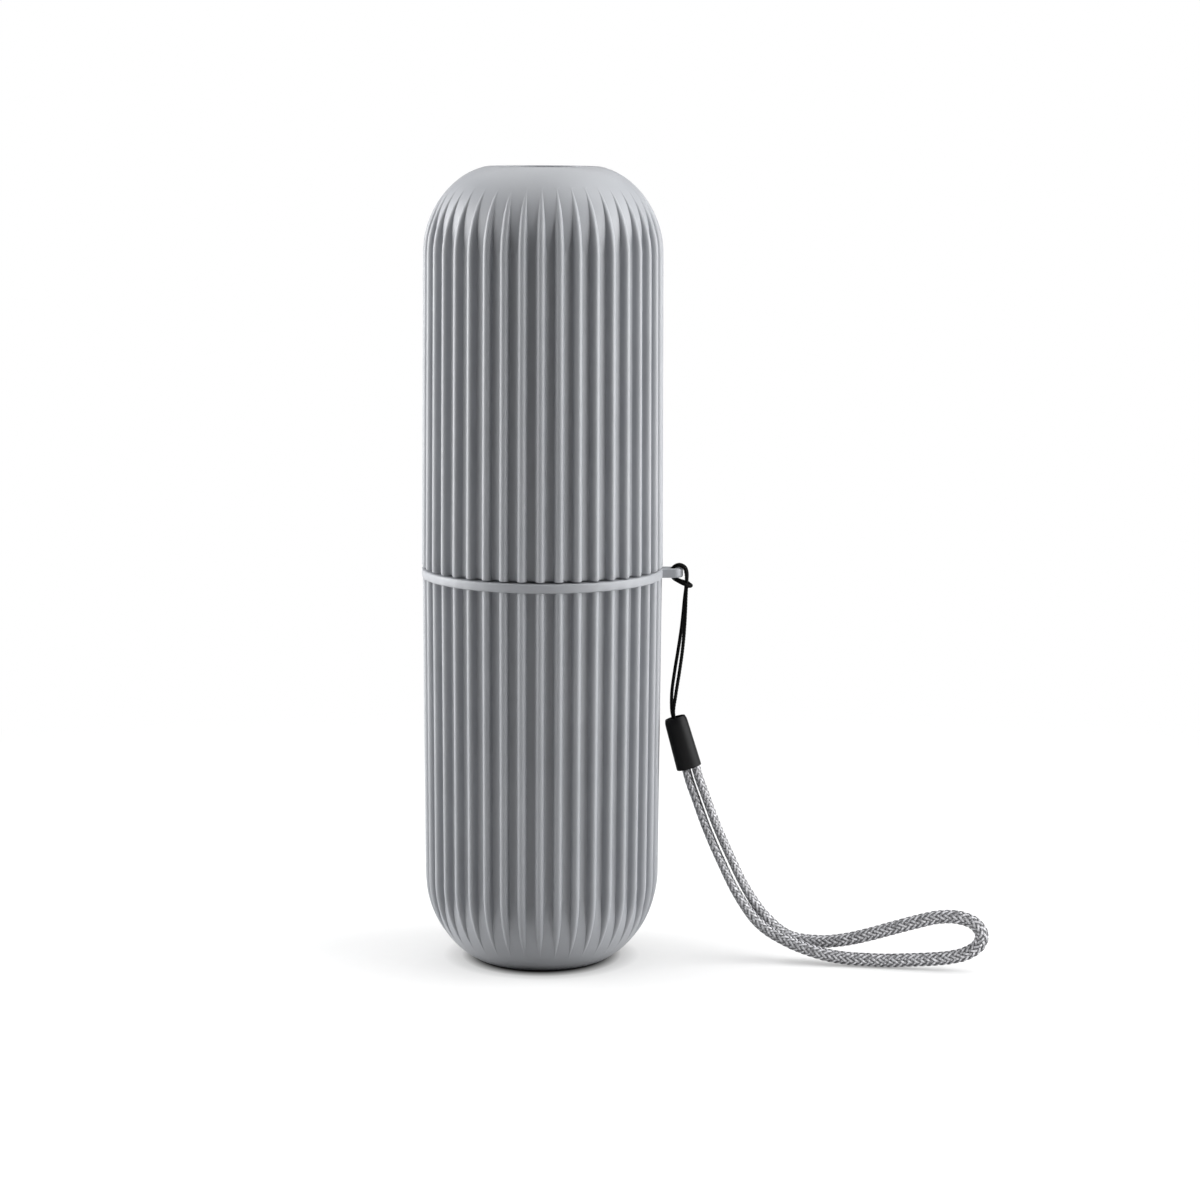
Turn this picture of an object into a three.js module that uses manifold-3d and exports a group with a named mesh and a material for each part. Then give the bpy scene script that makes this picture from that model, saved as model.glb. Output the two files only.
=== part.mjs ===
// Travel toothbrush case: a ribbed cup, a ribbed lid that pushes over the cup's collar,
// and a wrist lanyard hitched to the lug on the cup's flange.
// Millimetres, +Z up. The origin is on the case's axis, in the plane of the foot.

import * as THREE from 'three';
import { mergeVertices } from 'three/addons/utils/BufferGeometryUtils.js';
import Module from 'manifold-3d';

// Case
const CUP_HEIGHT = 102.6;         // foot to the top of the flange
const LID_HEIGHT = 102.1;         // rim to the flat top
const RIM_RADIUS = 31.05;         // flange, and the rib crests at the lid's rim
const TAPER = 0.5;                // how much each half narrows from its mouth to its dome
const WALL = 2;                   // groove floor to the inside
const DOME_RADIUS = 18;           // round of the groove floors over each closed end
const FOOT_RADIUS = 14.3;         // flat ring of each closed end, outside
const RECESS_RADIUS = 12;         // shallow recess inside that ring
const RECESS_DEPTH = 0.6;
const EDGE = 0.3;                 // bevel on rims, flange and lug

// Ribs
const RIB_COUNT = 40;
const RIB_HEIGHT = 2;
const RIB_WIDTH = 2.3;
const RIB_ROOT = 3.2;             // width where the rib's foot meets the groove floor
const RIB_CREST = 1.1;            // width of the crest between its shoulders
const RIB_SHOULDER = 0.6;         // how far the shoulders drop
const RIB_END_RADIUS = 23.8;      // round of the crests over each closed end
const RIB_END_ANGLE = 46;         // degrees down the dome at which the ribs die away

// Flange, collar and fit
const FLANGE_HEIGHT = 2.4;
const FLANGE_STEP = 0.2;          // how far the flange stands proud of the cup's ribs
const COLLAR_HEIGHT = 12;         // above the flange
const COLLAR_WALL = 1.1;
const BEAD_HEIGHT = 0.15;         // ring round the collar that the lid grips
const BEAD_WIDTH = 1.4;
const FIT_GAP = 0.3;              // lid to collar
const SEAM_GAP = 0.3;             // lid rim to flange

// Lug
const LUG_REACH = 2.8;            // flange to the middle of the hole
const LUG_HOLE_RADIUS = 1.35;
const LUG_BAR = 1.05;             // material round the hole

// Lanyard
const LANYARD_TURN = -11;         // degrees, direction in which the lanyard trails
const TOUCH_GAP = 0.3;            // between pieces of the lanyard
const LOOP_CORD_DIAMETER = 0.9;
const HITCH_CLEARANCE = 0.3;      // loop cord to the bar that it goes round
const HITCH_INSET = 0.25;         // middle of the hitch's turn, inwards from the bar's middle
const STRAND_BOW = 0.72;          // how far each hanging strand stands out at its middle
const END_BOW = 0.28;             // the same at the sleeve and below the hitch
const SLEEVE_LENGTH = 14.8;
const SLEEVE_RADIUS = 3.05;       // at its lower end
const SLEEVE_FLARE = 0.2;         // how much narrower it is at its upper end
const SLEEVE_ROUND = 1.5;         // rounded upper edge
const SLEEVE_BORE_DEPTH = 3;
const SLEEVE_TILT = 16.5;         // degrees, lower end outwards
const SLEEVE_TOP = [0.1, 64.4];   // out from the lug's hole, and up from the floor
const WRIST_CORD_DIAMETER = 2.9;
const PAIR_TURN = [66, 84];       // degrees that its two strands are turned out of the
                                  // lanyard's plane, at the sleeve and above the floor
const BIGHT_DROP = 1.4;           // bight of the hitch below the turn over the bar

// Facets
const RIB_STEPS = 4;              // along a rib's end
const END_STEPS = 2;              // from the flat ring to the ribs
const HOLLOW_STEPS = 4;
const ROUND_SEGMENTS = 72;
const SLEEVE_SEGMENTS = 20;
const ARC_SEGMENTS = 8;
const CORD_SIDES = 8;
const LOOP_CORD_STEPS = 80;
const WRIST_CORD_STEPS = 64;
const MERGE_TOLERANCE = 1e-4;

const wasm = await Module();
wasm.setup();

const rad = THREE.MathUtils.degToRad;
const point = (r, z) => new THREE.Vector2(r, z);

// A closed geometry as a solid that can be joined and cut
function solidOf(geometry) {
  geometry.deleteAttribute('normal');
  geometry.deleteAttribute('uv');
  const merged = mergeVertices(geometry, MERGE_TOLERANCE);
  const corners = merged.index.array;
  const triangles = [];
  for (let i = 0; i < corners.length; i += 3) {
    const [a, b, c] = corners.slice(i, i + 3);
    if (a !== b && b !== c && c !== a) triangles.push(a, b, c);
  }
  return new wasm.Manifold(new wasm.Mesh({
    numProp: 3,
    vertProperties: merged.attributes.position.array,
    triVerts: Uint32Array.from(triangles),
  }));
}

function meshOf(name, solid, material) {
  const { vertProperties, triVerts } = solid.getMesh();
  const geometry = new THREE.BufferGeometry();
  geometry.setAttribute('position', new THREE.BufferAttribute(vertProperties, 3));
  geometry.setIndex(new THREE.BufferAttribute(triVerts, 1));
  geometry.computeVertexNormals();
  const mesh = new THREE.Mesh(geometry, material);
  mesh.name = name;
  return mesh;
}

// A profile of radius and height, turned round the Z axis
function turned(profile, segments) {
  const geometry = new THREE.LatheGeometry(profile, segments);
  geometry.rotateX(Math.PI / 2);
  return solidOf(geometry);
}

// Round of a closed end: an arc that leaves the straight wall and goes through the point given
function endArc(wallRadius, radius, through) {
  const centreRadius = wallRadius - radius;
  const height = through.y + Math.sqrt(radius ** 2 - (through.x - centreRadius) ** 2);
  return { centre: point(centreRadius, height), radius };
}

function onArc({ centre, radius }, angle) {
  return point(Math.cos(angle), -Math.sin(angle)).multiplyScalar(radius).add(centre);
}

// One half of the case, standing on its closed end: sizes that its skin and its hollow share
function halfShell(height, crestRadius) {
  const rimFloor = crestRadius - RIB_HEIGHT;
  const floorArc = endArc(rimFloor - TAPER, DOME_RADIUS, point(FOOT_RADIUS, 0));
  const ribEnd = onArc(floorArc, rad(RIB_END_ANGLE));
  const crestArc = endArc(crestRadius - TAPER, RIB_END_RADIUS, ribEnd);
  const floorHeight = RECESS_DEPTH + WALL;
  return { height, crestRadius, rimFloor, floorArc, crestArc, floorHeight };
}

// Rows up the outside of one half, each with the groove's floor and the rib's crest, which
// stands square to the floor
function skinRows({ height, crestRadius, rimFloor, floorArc, crestArc }) {
  const rows = [];
  const smooth = (at) => rows.push({ floor: at, crest: at });
  const ribbed = (floor, crest) => rows.push({ floor, crest });
  const footAngle = Math.asin(floorArc.centre.y / DOME_RADIUS);
  smooth(point(0, 0));
  for (let i = 0; i <= END_STEPS; i++) {
    smooth(onArc(floorArc, THREE.MathUtils.lerp(footAngle, rad(RIB_END_ANGLE), i / END_STEPS)));
  }
  const apart = crestArc.centre.clone().sub(floorArc.centre);
  for (let i = 1; i <= RIB_STEPS; i++) {
    const floor = onArc(floorArc, rad(RIB_END_ANGLE) * (1 - i / RIB_STEPS));
    const outwards = floor.clone().sub(floorArc.centre).normalize();
    const near = apart.dot(outwards);
    const far = Math.sqrt(near ** 2 - apart.lengthSq() + crestArc.radius ** 2);
    ribbed(floor, outwards.multiplyScalar(near + far).add(floorArc.centre));
  }
  const wallStart = crestArc.centre.y;
  ribbed(point(rimFloor - TAPER, wallStart), point(crestRadius - TAPER, wallStart));
  ribbed(point(rimFloor, height - EDGE), point(crestRadius, height - EDGE));
  ribbed(point(rimFloor - EDGE, height), point(crestRadius - EDGE, height));
  smooth(point(0, height));
  return rows;
}

// Across one rib, from groove to groove: distance from its middle and share of its height
const flankShare = 1 - RIB_SHOULDER / RIB_HEIGHT;
const ribSection = [
  [-RIB_ROOT / 2, 0],
  [-RIB_WIDTH / 2, flankShare],
  [-RIB_CREST / 2, 1],
  [RIB_CREST / 2, 1],
  [RIB_WIDTH / 2, flankShare],
  [RIB_ROOT / 2, 0],
];

// The ribbed outside of one half, solid: a turned skin whose points are moved onto the ribs.
// A round rib that sinks into the dome narrows with the square root of its height, to a point.
function ribbedSolid(half) {
  const rows = skinRows(half);
  const stations = ribSection.length;
  const geometry = new THREE.LatheGeometry(rows.map((row) => row.floor), RIB_COUNT * stations);
  const position = geometry.attributes.position;
  for (let i = 0; i < position.count; i++) {
    const { floor, crest } = rows[i % rows.length];
    const column = Math.floor(i / rows.length);
    const [across, share] = ribSection[column % stations];
    const middle = Math.floor(column / stations) * 2 * Math.PI / RIB_COUNT;
    const narrowing = Math.sqrt(floor.distanceTo(crest) / RIB_HEIGHT);
    const angle = middle + narrowing * across / RIM_RADIUS;
    const at = floor.clone().lerp(crest, share);
    position.setXYZ(i, at.x * Math.sin(angle), -at.x * Math.cos(angle), at.y);
  }
  return solidOf(geometry);
}

// The inside of one half, up to its mouth and on to the height given
function hollowProfile({ rimFloor, floorArc, floorHeight }, top) {
  const arc = { centre: floorArc.centre, radius: DOME_RADIUS - WALL };
  const floorAngle = Math.asin((arc.centre.y - floorHeight) / arc.radius);
  const profile = [point(0, floorHeight)];
  for (let i = 0; i <= HOLLOW_STEPS; i++) {
    profile.push(onArc(arc, floorAngle * (1 - i / HOLLOW_STEPS)));
  }
  profile.push(point(rimFloor - WALL, top));
  return profile;
}

// The shallow recess inside the flat ring of a closed end
function recess() {
  const profile = [
    point(0, -RECESS_DEPTH),
    point(RECESS_RADIUS, -RECESS_DEPTH),
    point(RECESS_RADIUS, RECESS_DEPTH),
    point(0, RECESS_DEPTH),
  ];
  return turned(profile, ROUND_SEGMENTS);
}

// Flange at the cup's mouth, bevelled above and below
function flange() {
  const bottom = CUP_HEIGHT - FLANGE_HEIGHT;
  const profile = [
    point(0, bottom),
    point(RIM_RADIUS - EDGE, bottom),
    point(RIM_RADIUS, bottom + EDGE),
    point(RIM_RADIUS, CUP_HEIGHT - EDGE),
    point(RIM_RADIUS - EDGE, CUP_HEIGHT),
    point(0, CUP_HEIGHT),
  ];
  return turned(profile, ROUND_SEGMENTS);
}

// Collar that the lid pushes over, with a bead at half its height and a bevelled lead-in
function collar(outerRadius) {
  const top = CUP_HEIGHT + COLLAR_HEIGHT;
  const bead = CUP_HEIGHT + COLLAR_HEIGHT / 2;
  const profile = [
    point(0, CUP_HEIGHT - FLANGE_HEIGHT / 2),
    point(outerRadius, CUP_HEIGHT - FLANGE_HEIGHT / 2),
    point(outerRadius, bead - BEAD_WIDTH / 2),
    point(outerRadius + BEAD_HEIGHT, bead),
    point(outerRadius, bead + BEAD_WIDTH / 2),
    point(outerRadius, top - EDGE),
    point(outerRadius - EDGE, top),
    point(0, top),
  ];
  return turned(profile, ROUND_SEGMENTS);
}

// Flat lug with a round end, its edges bevelled like the flange's
const lugHoleX = RIM_RADIUS + LUG_REACH;

function lug() {
  const endRadius = LUG_HOLE_RADIUS + LUG_BAR;
  const outline = new THREE.Shape();
  outline.moveTo(RIM_RADIUS - WALL, -endRadius);
  outline.absarc(lugHoleX, 0, endRadius, -Math.PI / 2, Math.PI / 2);
  outline.lineTo(RIM_RADIUS - WALL, endRadius);
  const geometry = new THREE.ExtrudeGeometry(outline, {
    depth: FLANGE_HEIGHT - 2 * EDGE,
    bevelThickness: EDGE,
    bevelSize: EDGE,
    bevelOffset: -EDGE,
    bevelSegments: 1,
    curveSegments: 2 * ARC_SEGMENTS,
  });
  geometry.translate(0, 0, CUP_HEIGHT - FLANGE_HEIGHT + EDGE);
  return solidOf(geometry);
}

// Hole through the lug, countersunk by the same bevel on both faces
function lugHole() {
  const bottom = CUP_HEIGHT - FLANGE_HEIGHT;
  const profile = [
    point(0, bottom - EDGE),
    point(LUG_HOLE_RADIUS + 2 * EDGE, bottom - EDGE),
    point(LUG_HOLE_RADIUS, bottom + EDGE),
    point(LUG_HOLE_RADIUS, CUP_HEIGHT - EDGE),
    point(LUG_HOLE_RADIUS + 2 * EDGE, CUP_HEIGHT + EDGE),
    point(0, CUP_HEIGHT + EDGE),
  ];
  return turned(profile, 2 * ARC_SEGMENTS).translate([lugHoleX, 0, 0]);
}

const cupHalf = halfShell(CUP_HEIGHT - FLANGE_HEIGHT / 2, RIM_RADIUS - FLANGE_STEP);
const lidHalf = halfShell(LID_HEIGHT, RIM_RADIUS);
const collarRadius = cupHalf.rimFloor - WALL + COLLAR_WALL;

function cup() {
  const mouth = CUP_HEIGHT + COLLAR_HEIGHT;
  const profile = hollowProfile(cupHalf, mouth + EDGE);
  profile.push(point(0, mouth + EDGE));
  return ribbedSolid(cupHalf)
    .add(flange())
    .add(lug())
    .add(collar(collarRadius))
    .subtract(lugHole())
    .subtract(turned(profile, ROUND_SEGMENTS))
    .subtract(recess());
}

// The lid stands on its closed end here, and is turned over when it is placed. Its skirt is
// cut back inside to go over the collar.
function lid() {
  const skirtRadius = collarRadius + FIT_GAP;
  const skirtFloor = LID_HEIGHT + SEAM_GAP - COLLAR_HEIGHT - FIT_GAP;
  const profile = hollowProfile(lidHalf, skirtFloor);
  profile.push(point(skirtRadius, skirtFloor));
  profile.push(point(skirtRadius, LID_HEIGHT - EDGE));
  profile.push(point(skirtRadius + 2 * EDGE, LID_HEIGHT + EDGE));
  profile.push(point(0, LID_HEIGHT + EDGE));
  return ribbedSolid(lidHalf)
    .subtract(turned(profile, ROUND_SEGMENTS))
    .subtract(recess());
}

// Lanyard. It hangs and trails in one upright plane through the lug's hole: x is out from
// the hole, y across that plane, z up from the floor.
function tube(points, diameter, steps) {
  const section = [];
  for (let i = 0; i < CORD_SIDES; i++) {
    const angle = 2 * Math.PI * (i + 0.5) / CORD_SIDES;
    section.push(point(Math.cos(angle), Math.sin(angle)).multiplyScalar(diameter / 2));
  }
  const path = new THREE.CatmullRomCurve3(points, false, 'centripetal');
  return solidOf(new THREE.ExtrudeGeometry(new THREE.Shape(section), {
    extrudePath: path,
    steps,
    bevelEnabled: false,
  }));
}

const sleeveAxis = new THREE.Vector3(Math.sin(rad(SLEEVE_TILT)), 0, -Math.cos(rad(SLEEVE_TILT)));
const sleeveTop = new THREE.Vector3(SLEEVE_TOP[0], 0, SLEEVE_TOP[1]);
const alongSleeve = (distance) => sleeveTop.clone().addScaledVector(sleeveAxis, distance);

const strandOffset = (LOOP_CORD_DIAMETER + TOUCH_GAP) / 2;
const sleeveBore = strandOffset + LOOP_CORD_DIAMETER / 2 + TOUCH_GAP;

// Moulded sleeve, its axis downwards: rounded at the top, where the loop cord goes in, and a
// little wider at the wrist cord's end
function sleeve() {
  const topRadius = SLEEVE_RADIUS - SLEEVE_FLARE;
  const shoulder = Math.max(sleeveBore, topRadius - SLEEVE_ROUND);
  const profile = [point(0, -SLEEVE_BORE_DEPTH), point(sleeveBore, -SLEEVE_BORE_DEPTH)];
  profile.push(point(sleeveBore, -EDGE), point(shoulder, 0));
  for (let i = 1; i <= ARC_SEGMENTS / 2; i++) {
    const angle = Math.PI / 2 * i / (ARC_SEGMENTS / 2);
    const r = shoulder + (topRadius - shoulder) * Math.sin(angle);
    profile.push(point(r, SLEEVE_ROUND * (Math.cos(angle) - 1)));
  }
  profile.push(point(SLEEVE_RADIUS, EDGE - SLEEVE_LENGTH));
  profile.push(point(SLEEVE_RADIUS - EDGE, -SLEEVE_LENGTH));
  profile.push(point(0, -SLEEVE_LENGTH));
  return turned(profile.reverse(), SLEEVE_SEGMENTS);
}

// Loop cord, hitched round the lug's bar: each strand comes up outside the bar, goes over it
// and down through the hole, and the bight joins them round the outside of both strands.
function loopCord() {
  const turnOut = LUG_HOLE_RADIUS + LUG_BAR / 2 - HITCH_INSET;
  const turnUp = CUP_HEIGHT - FLANGE_HEIGHT / 2;
  const turn = FLANGE_HEIGHT / 2 + HITCH_CLEARANCE + LOOP_CORD_DIAMETER / 2;
  const across = LOOP_CORD_DIAMETER + TOUCH_GAP;
  const bightOut = turnOut + turn + across;
  const bightUp = turnUp - turn - BIGHT_DROP;
  // Out from the lug's hole, up from the sleeve, and share of the bow
  const hang = [[0.3, 5, 0.87], [1.1, 11, 1], [1.95, 17, 0.9], [2.6, 23, 0.66]];
  const side = (s) => {
    const at = (x, y, z) => new THREE.Vector3(x, s * y, z);
    const bowed = (x, bow, z) => at(x - s * bow, strandOffset, z);
    const inBore = alongSleeve(SLEEVE_BORE_DEPTH - TOUCH_GAP);
    const points = [bowed(inBore.x, END_BOW, inBore.z), bowed(sleeveTop.x, END_BOW, sleeveTop.z)];
    for (const [x, rise, share] of hang) {
      points.push(bowed(x, share * STRAND_BOW, sleeveTop.z + rise));
    }
    points.push(bowed(turnOut + turn - TOUCH_GAP, END_BOW, turnUp - 3 * FLANGE_HEIGHT));
    for (let eighth = 0; eighth <= 5; eighth++) {
      const angle = eighth * Math.PI / 4;
      points.push(at(turnOut + turn * Math.cos(angle), strandOffset, turnUp + turn * Math.sin(angle)));
    }
    points.push(at(turnOut, strandOffset + across / 4, bightUp + BIGHT_DROP * 5 / 6));
    points.push(at(turnOut + turn, strandOffset + across, bightUp + BIGHT_DROP / 3));
    points.push(at(bightOut - across / 4, strandOffset + across / 2, bightUp));
    return points;
  };
  const bight = new THREE.Vector3(bightOut, 0, bightUp);
  const points = [...side(-1), bight, ...side(1).reverse()];
  return tube(points, LOOP_CORD_DIAMETER, LOOP_CORD_STEPS);
}

// Wrist cord: two strands from the sleeve down to the floor, one partly behind the other, and
// the loop that they open into, its lower strand on the floor
function wristCord() {
  const radius = WRIST_CORD_DIAMETER / 2;
  const spread = radius + TOUCH_GAP / 2;
  const start = alongSleeve(SLEEVE_LENGTH + TOUCH_GAP);
  const straight = alongSleeve(SLEEVE_LENGTH + WRIST_CORD_DIAMETER);
  const middle = [
    [start.x, start.z], [straight.x, straight.z],
    [7.4, 43.2], [10.6, 34.8], [14.4, 26.4], [18.7, 18], [24.3, 10.5], [31, 6],
  ];
  const loop = [
    [39.5, 1.2], [46, 0.2], [53, 0.05], [57, 0.05], [61, 0.3], [65, 0.6], [69, 0.95], [73, 1.5],
    [77.2, 2.7], [80.4, 5], [81.3, 7.8], [79.4, 10.6], [75.2, 12], [70, 11.75], [64, 10.05],
    [58, 8.05], [52, 6], [46, 4.3], [39.5, 3.35],
  ];
  const line = new THREE.CatmullRomCurve3(middle.map(([x, z]) => new THREE.Vector3(x, 0, z)));
  const strand = (s) => middle.map(([x, z], i) => {
    const share = i / (middle.length - 1);
    const along = line.getTangent(share);
    const turn = rad(THREE.MathUtils.lerp(...PAIR_TURN, share));
    const aside = s * spread * Math.cos(turn);
    return new THREE.Vector3(x - aside * along.z, s * spread * Math.sin(turn), z + aside * along.x);
  });
  const laid = loop.map(([x, z], i) => {
    const behind = THREE.MathUtils.lerp(-spread, spread, i / (loop.length - 1));
    return new THREE.Vector3(x, behind, z + radius);
  });
  return tube([...strand(-1), ...laid, ...strand(1).reverse()], WRIST_CORD_DIAMETER, WRIST_CORD_STEPS);
}

const plastic = (color) => new THREE.MeshStandardMaterial({ color, roughness: 0.45, metalness: 0 });
const cloth = (color) => new THREE.MeshStandardMaterial({ color, roughness: 0.85, metalness: 0 });

const travelCase = new THREE.Group();
travelCase.add(meshOf('cup', cup(), plastic(0xa3a5aa)));

const lidMesh = meshOf('lid', lid(), plastic(0xa3a5aa));
lidMesh.rotation.x = Math.PI;
lidMesh.position.z = CUP_HEIGHT + SEAM_GAP + LID_HEIGHT;
travelCase.add(lidMesh);

const lanyard = new THREE.Group();
lanyard.position.x = lugHoleX;
lanyard.rotation.z = rad(LANYARD_TURN);
lanyard.add(meshOf('loop_cord', loopCord(), cloth(0x141416)));
lanyard.add(meshOf('wrist_cord', wristCord(), cloth(0xa9a9ad)));
const sleeveMesh = meshOf('cord_sleeve', sleeve(), plastic(0x1a1a1c));
sleeveMesh.position.copy(sleeveTop);
sleeveMesh.rotation.y = -rad(SLEEVE_TILT);
lanyard.add(sleeveMesh);
travelCase.add(lanyard);

export default travelCase;
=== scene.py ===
"""Travel toothbrush case: a ribbed cup and lid, and a wrist lanyard hitched to the cup's lug."""

import math

import bpy
import numpy as np
from bpy.props import FloatProperty, FloatVectorProperty, IntProperty, PointerProperty
from mathutils import Matrix, Vector


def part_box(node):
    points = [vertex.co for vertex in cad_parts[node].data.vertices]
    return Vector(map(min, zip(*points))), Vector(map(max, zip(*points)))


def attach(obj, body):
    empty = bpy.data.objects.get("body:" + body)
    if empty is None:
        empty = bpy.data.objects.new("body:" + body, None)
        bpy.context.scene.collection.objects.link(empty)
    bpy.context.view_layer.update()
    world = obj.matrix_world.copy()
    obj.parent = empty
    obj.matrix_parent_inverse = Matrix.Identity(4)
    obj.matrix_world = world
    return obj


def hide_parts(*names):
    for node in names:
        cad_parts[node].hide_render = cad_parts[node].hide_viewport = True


bl_info = {
    "name": "Travel Toothbrush Case",
    "version": (1, 0, 0),
    "blender": (4, 5, 0),
    "location": "3D View > Sidebar > Travel Case",
    "description": "Models a ribbed travel toothbrush case and its lanyard round its solids",
    "category": "Object",
}

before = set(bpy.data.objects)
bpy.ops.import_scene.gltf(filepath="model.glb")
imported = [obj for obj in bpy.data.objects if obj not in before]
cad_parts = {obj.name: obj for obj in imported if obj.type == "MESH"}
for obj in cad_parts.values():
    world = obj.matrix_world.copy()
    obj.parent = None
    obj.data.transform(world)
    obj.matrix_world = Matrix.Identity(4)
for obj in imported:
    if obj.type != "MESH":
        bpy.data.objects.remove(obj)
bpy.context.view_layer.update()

_, cup_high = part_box("cup")
lid_low, lid_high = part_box("lid")

SLEEVE_NAME = "sleeve_moulding"
HALF_TURN = math.pi
QUARTER = math.pi / 2
FULL_TURN = 2 * math.pi
MERGE_DISTANCE = 1e-6
MILLIMETRES = 1000

# How finely the mouldings are divided: steps round each arc, and places of rows along straight stretches
RIB_ROWS = 18
OVAL_STEPS = 6
ROOT_STEPS = 2
ROOT_SPREAD = 0.02
SMALL_ROUND = 4
EDGE_ROUND = 6
DOME_ROUND = 5
HOLLOW_ROUND = 8
UNDER_FLANGE_ROWS = 9
BEAD_ROWS = 4
RECESS_SHARES = (0.0, 0.2, 0.7)
CREST_SHARES = (0.25, 0.5, 0.75, 1.0)
WALL_SHARES = (0.02, 0.5, 0.98)
HOLLOW_SHARES = (0.0, 0.02, 0.35, 0.7, 0.98)
HOLLOW_FLOOR_SHARES = (0.9, 0.2, 0.0)
LUG_SIDES = 64
HOLE_SIDES = 48
SLEEVE_SIDES = 64
SLEEVE_DOME_STEPS = 10
FLOOR_SIDES = 128

# Degrees past which an edge stays sharp
MOULDING_SHARP = 32
SLEEVE_SHARP = 35
YARN_SHARP = 60

# Braids: rows in one turn of a yarn, sides of a yarn, how sharply it dips, and how the core fills the middle
WRIST_ROWS = 40
LOOP_ROWS = 24
YARN_SIDES = 6
WEAVE_DIP = 2.0
CORE_SHARE = 0.9
CORE_INSET = 3.2
# How much a pressed cord swells sideways, and steps between two points of a route
PRESS_SWELL = 0.5
ROUTE_STEPS = 24

# Middle of the wrist cord's strands on the way down, out from the lug's hole and up from the floor
WRIST_DROP = (
    (0.0074, 0.0432), (0.0106, 0.0348), (0.0144, 0.0264), (0.0187, 0.018), (0.0243, 0.0105), (0.031, 0.006),
)
# Underside of its loop, in the same way
WRIST_LOOP = (
    (0.0395, 0.0012), (0.046, 0.0002), (0.053, 0.00005), (0.057, 0.00005), (0.061, 0.0003),
    (0.065, 0.0006), (0.069, 0.00095), (0.073, 0.0015), (0.0772, 0.0027), (0.0804, 0.005),
    (0.0813, 0.0078), (0.0794, 0.0106), (0.0752, 0.012), (0.070, 0.01175), (0.064, 0.01005),
    (0.058, 0.00805), (0.052, 0.006), (0.046, 0.0043), (0.0395, 0.00335),
)
# The strands go behind each other late on the way down
PAIR_TURN_EASE = 3
# Loop cord above the sleeve: out from the lug's hole, up from the sleeve, and share of the bow
STRAND_HANG = ((0.0003, 0.005, 0.87), (0.0011, 0.011, 1.0), (0.00195, 0.017, 0.9), (0.0026, 0.023, 0.66))
# How far below the lug it hangs free of the hitch, in flange heights
BELOW_HITCH = 3

# Gloss, mottle and grain of the finishes
CASE_GLOSS = {"grain_scale": 2200.0, "rough": (0.36, 0.5), "specular": 0.45}
SLEEVE_GLOSS = {"grain_scale": 2600.0, "rough": (0.4, 0.52), "specular": 0.14}
WRIST_GLOSS = {"roughness": 0.32, "specular": 0.8}
LOOP_GLOSS = {"roughness": 0.65, "specular": 0.1}
MOTTLE_SCALE = 45.0
MOTTLE_RANGE = (0.3, 0.7)
GRAIN_RANGE = (0.25, 0.75)
GRAIN_DEPTH = 0.00004
GRAIN_STRENGTH = 0.35
FIBRES_ALONG = 0.8
FIBRES_AROUND = 9.0
FIBRE_DEPTH = 0.00005
FIBRE_STRENGTH = 0.6
GAP_ROUGHNESS = 0.1
# Share of a yarn's pale colour: the range that is read, and what it is stretched to. The share by the crown
# is painted shade, dark off the crown, the flecks are painted highlights, and the fibres are the yarn's own
CROWN_SHADE_RANGE = (0.25, 1.0, 0.0, 1.0)
PAINTED_GLINT_RANGE = (0.35, 0.65, 0.3, 1.15)
FIBRE_RANGE = (0.3, 0.7, 0.7, 1.1)

# Upright strips of the side soft boxes: degrees round the case from the camera, and watts
STRIPS = ((-125, 0.8), (-105, 3.7), (-85, 2.75), (-65, 1.4), (60, 2.45), (80, 2.4), (100, 2.0))
# Other lamps: place, aim, width and height
CASE_MIDDLE = (0, 0, 0.1)
TOP_SOFTBOX = ((0.03, 0.05, 0.75), (0.03, 0, 0), 0.7, 0.7)
RIGHT_SOFTBOX = ((0.45, 0.05, 0.62), CASE_MIDDLE, 0.4, 0.4)
BACK_SOFTBOX = ((0.03, 0.5, 0.62), CASE_MIDDLE, 0.6, 0.3)
LOOP_LAMP = ((0.13, -0.36, 0.035), (0.1, 0, 0.01), 0.06, 0.06)

# Floor: shift and shape of its white surround, and shape of the shadow painted round the foot
SURROUND_SHIFT = (-0.03, 0, 0)
SURROUND_SHAPE = (0.7, 1, 0)
PAINTED_SHADOW_SHAPE = (1.07, 1, 0)
# Share of that painted shadow that ends close to the foot, and of the floor's glow that is left under what
# lies on it, where shade is painted
PAINTED_SHADOW_SHARE = 0.9
PAINTED_SHADE_GLOW = 0.45
COVER_SAMPLES = 8
FLOOR_GRAIN = 300.0
FLOOR_ROUGHNESS = 0.9

# Surroundings: tint of their light, and where their front ends and their back starts
AMBIENT_TINT = (0.95, 0.97, 1.0, 1)
FRONT_TO_BACK = (-0.5, 0.3)
WHITE = (1, 1, 1, 1)


def length(name, description, default):
    """A size in metres"""
    return FloatProperty(
        name=name, description=description, default=default, unit="LENGTH", precision=5
    )


def angle(name, description, degrees):
    """An angle, written in degrees"""
    return FloatProperty(
        name=name, description=description, default=math.radians(degrees), subtype="ANGLE"
    )


def count(name, description, default):
    """A whole number"""
    return IntProperty(name=name, description=description, default=default, min=1)


def colour(name, description, default):
    """A colour in linear light"""
    return FloatVectorProperty(
        name=name, description=description, default=default, subtype="COLOR", min=0, max=1
    )


def ratio(name, description, default):
    """A plain number"""
    return FloatProperty(name=name, description=description, default=default)


def watts(name, default):
    """A lamp's power"""
    return FloatProperty(name=name, description="Power", default=default, unit="POWER")


def place(name, description, default):
    """A point in metres"""
    return FloatVectorProperty(
        name=name, description=description, default=default, subtype="TRANSLATION", precision=5
    )


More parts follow.
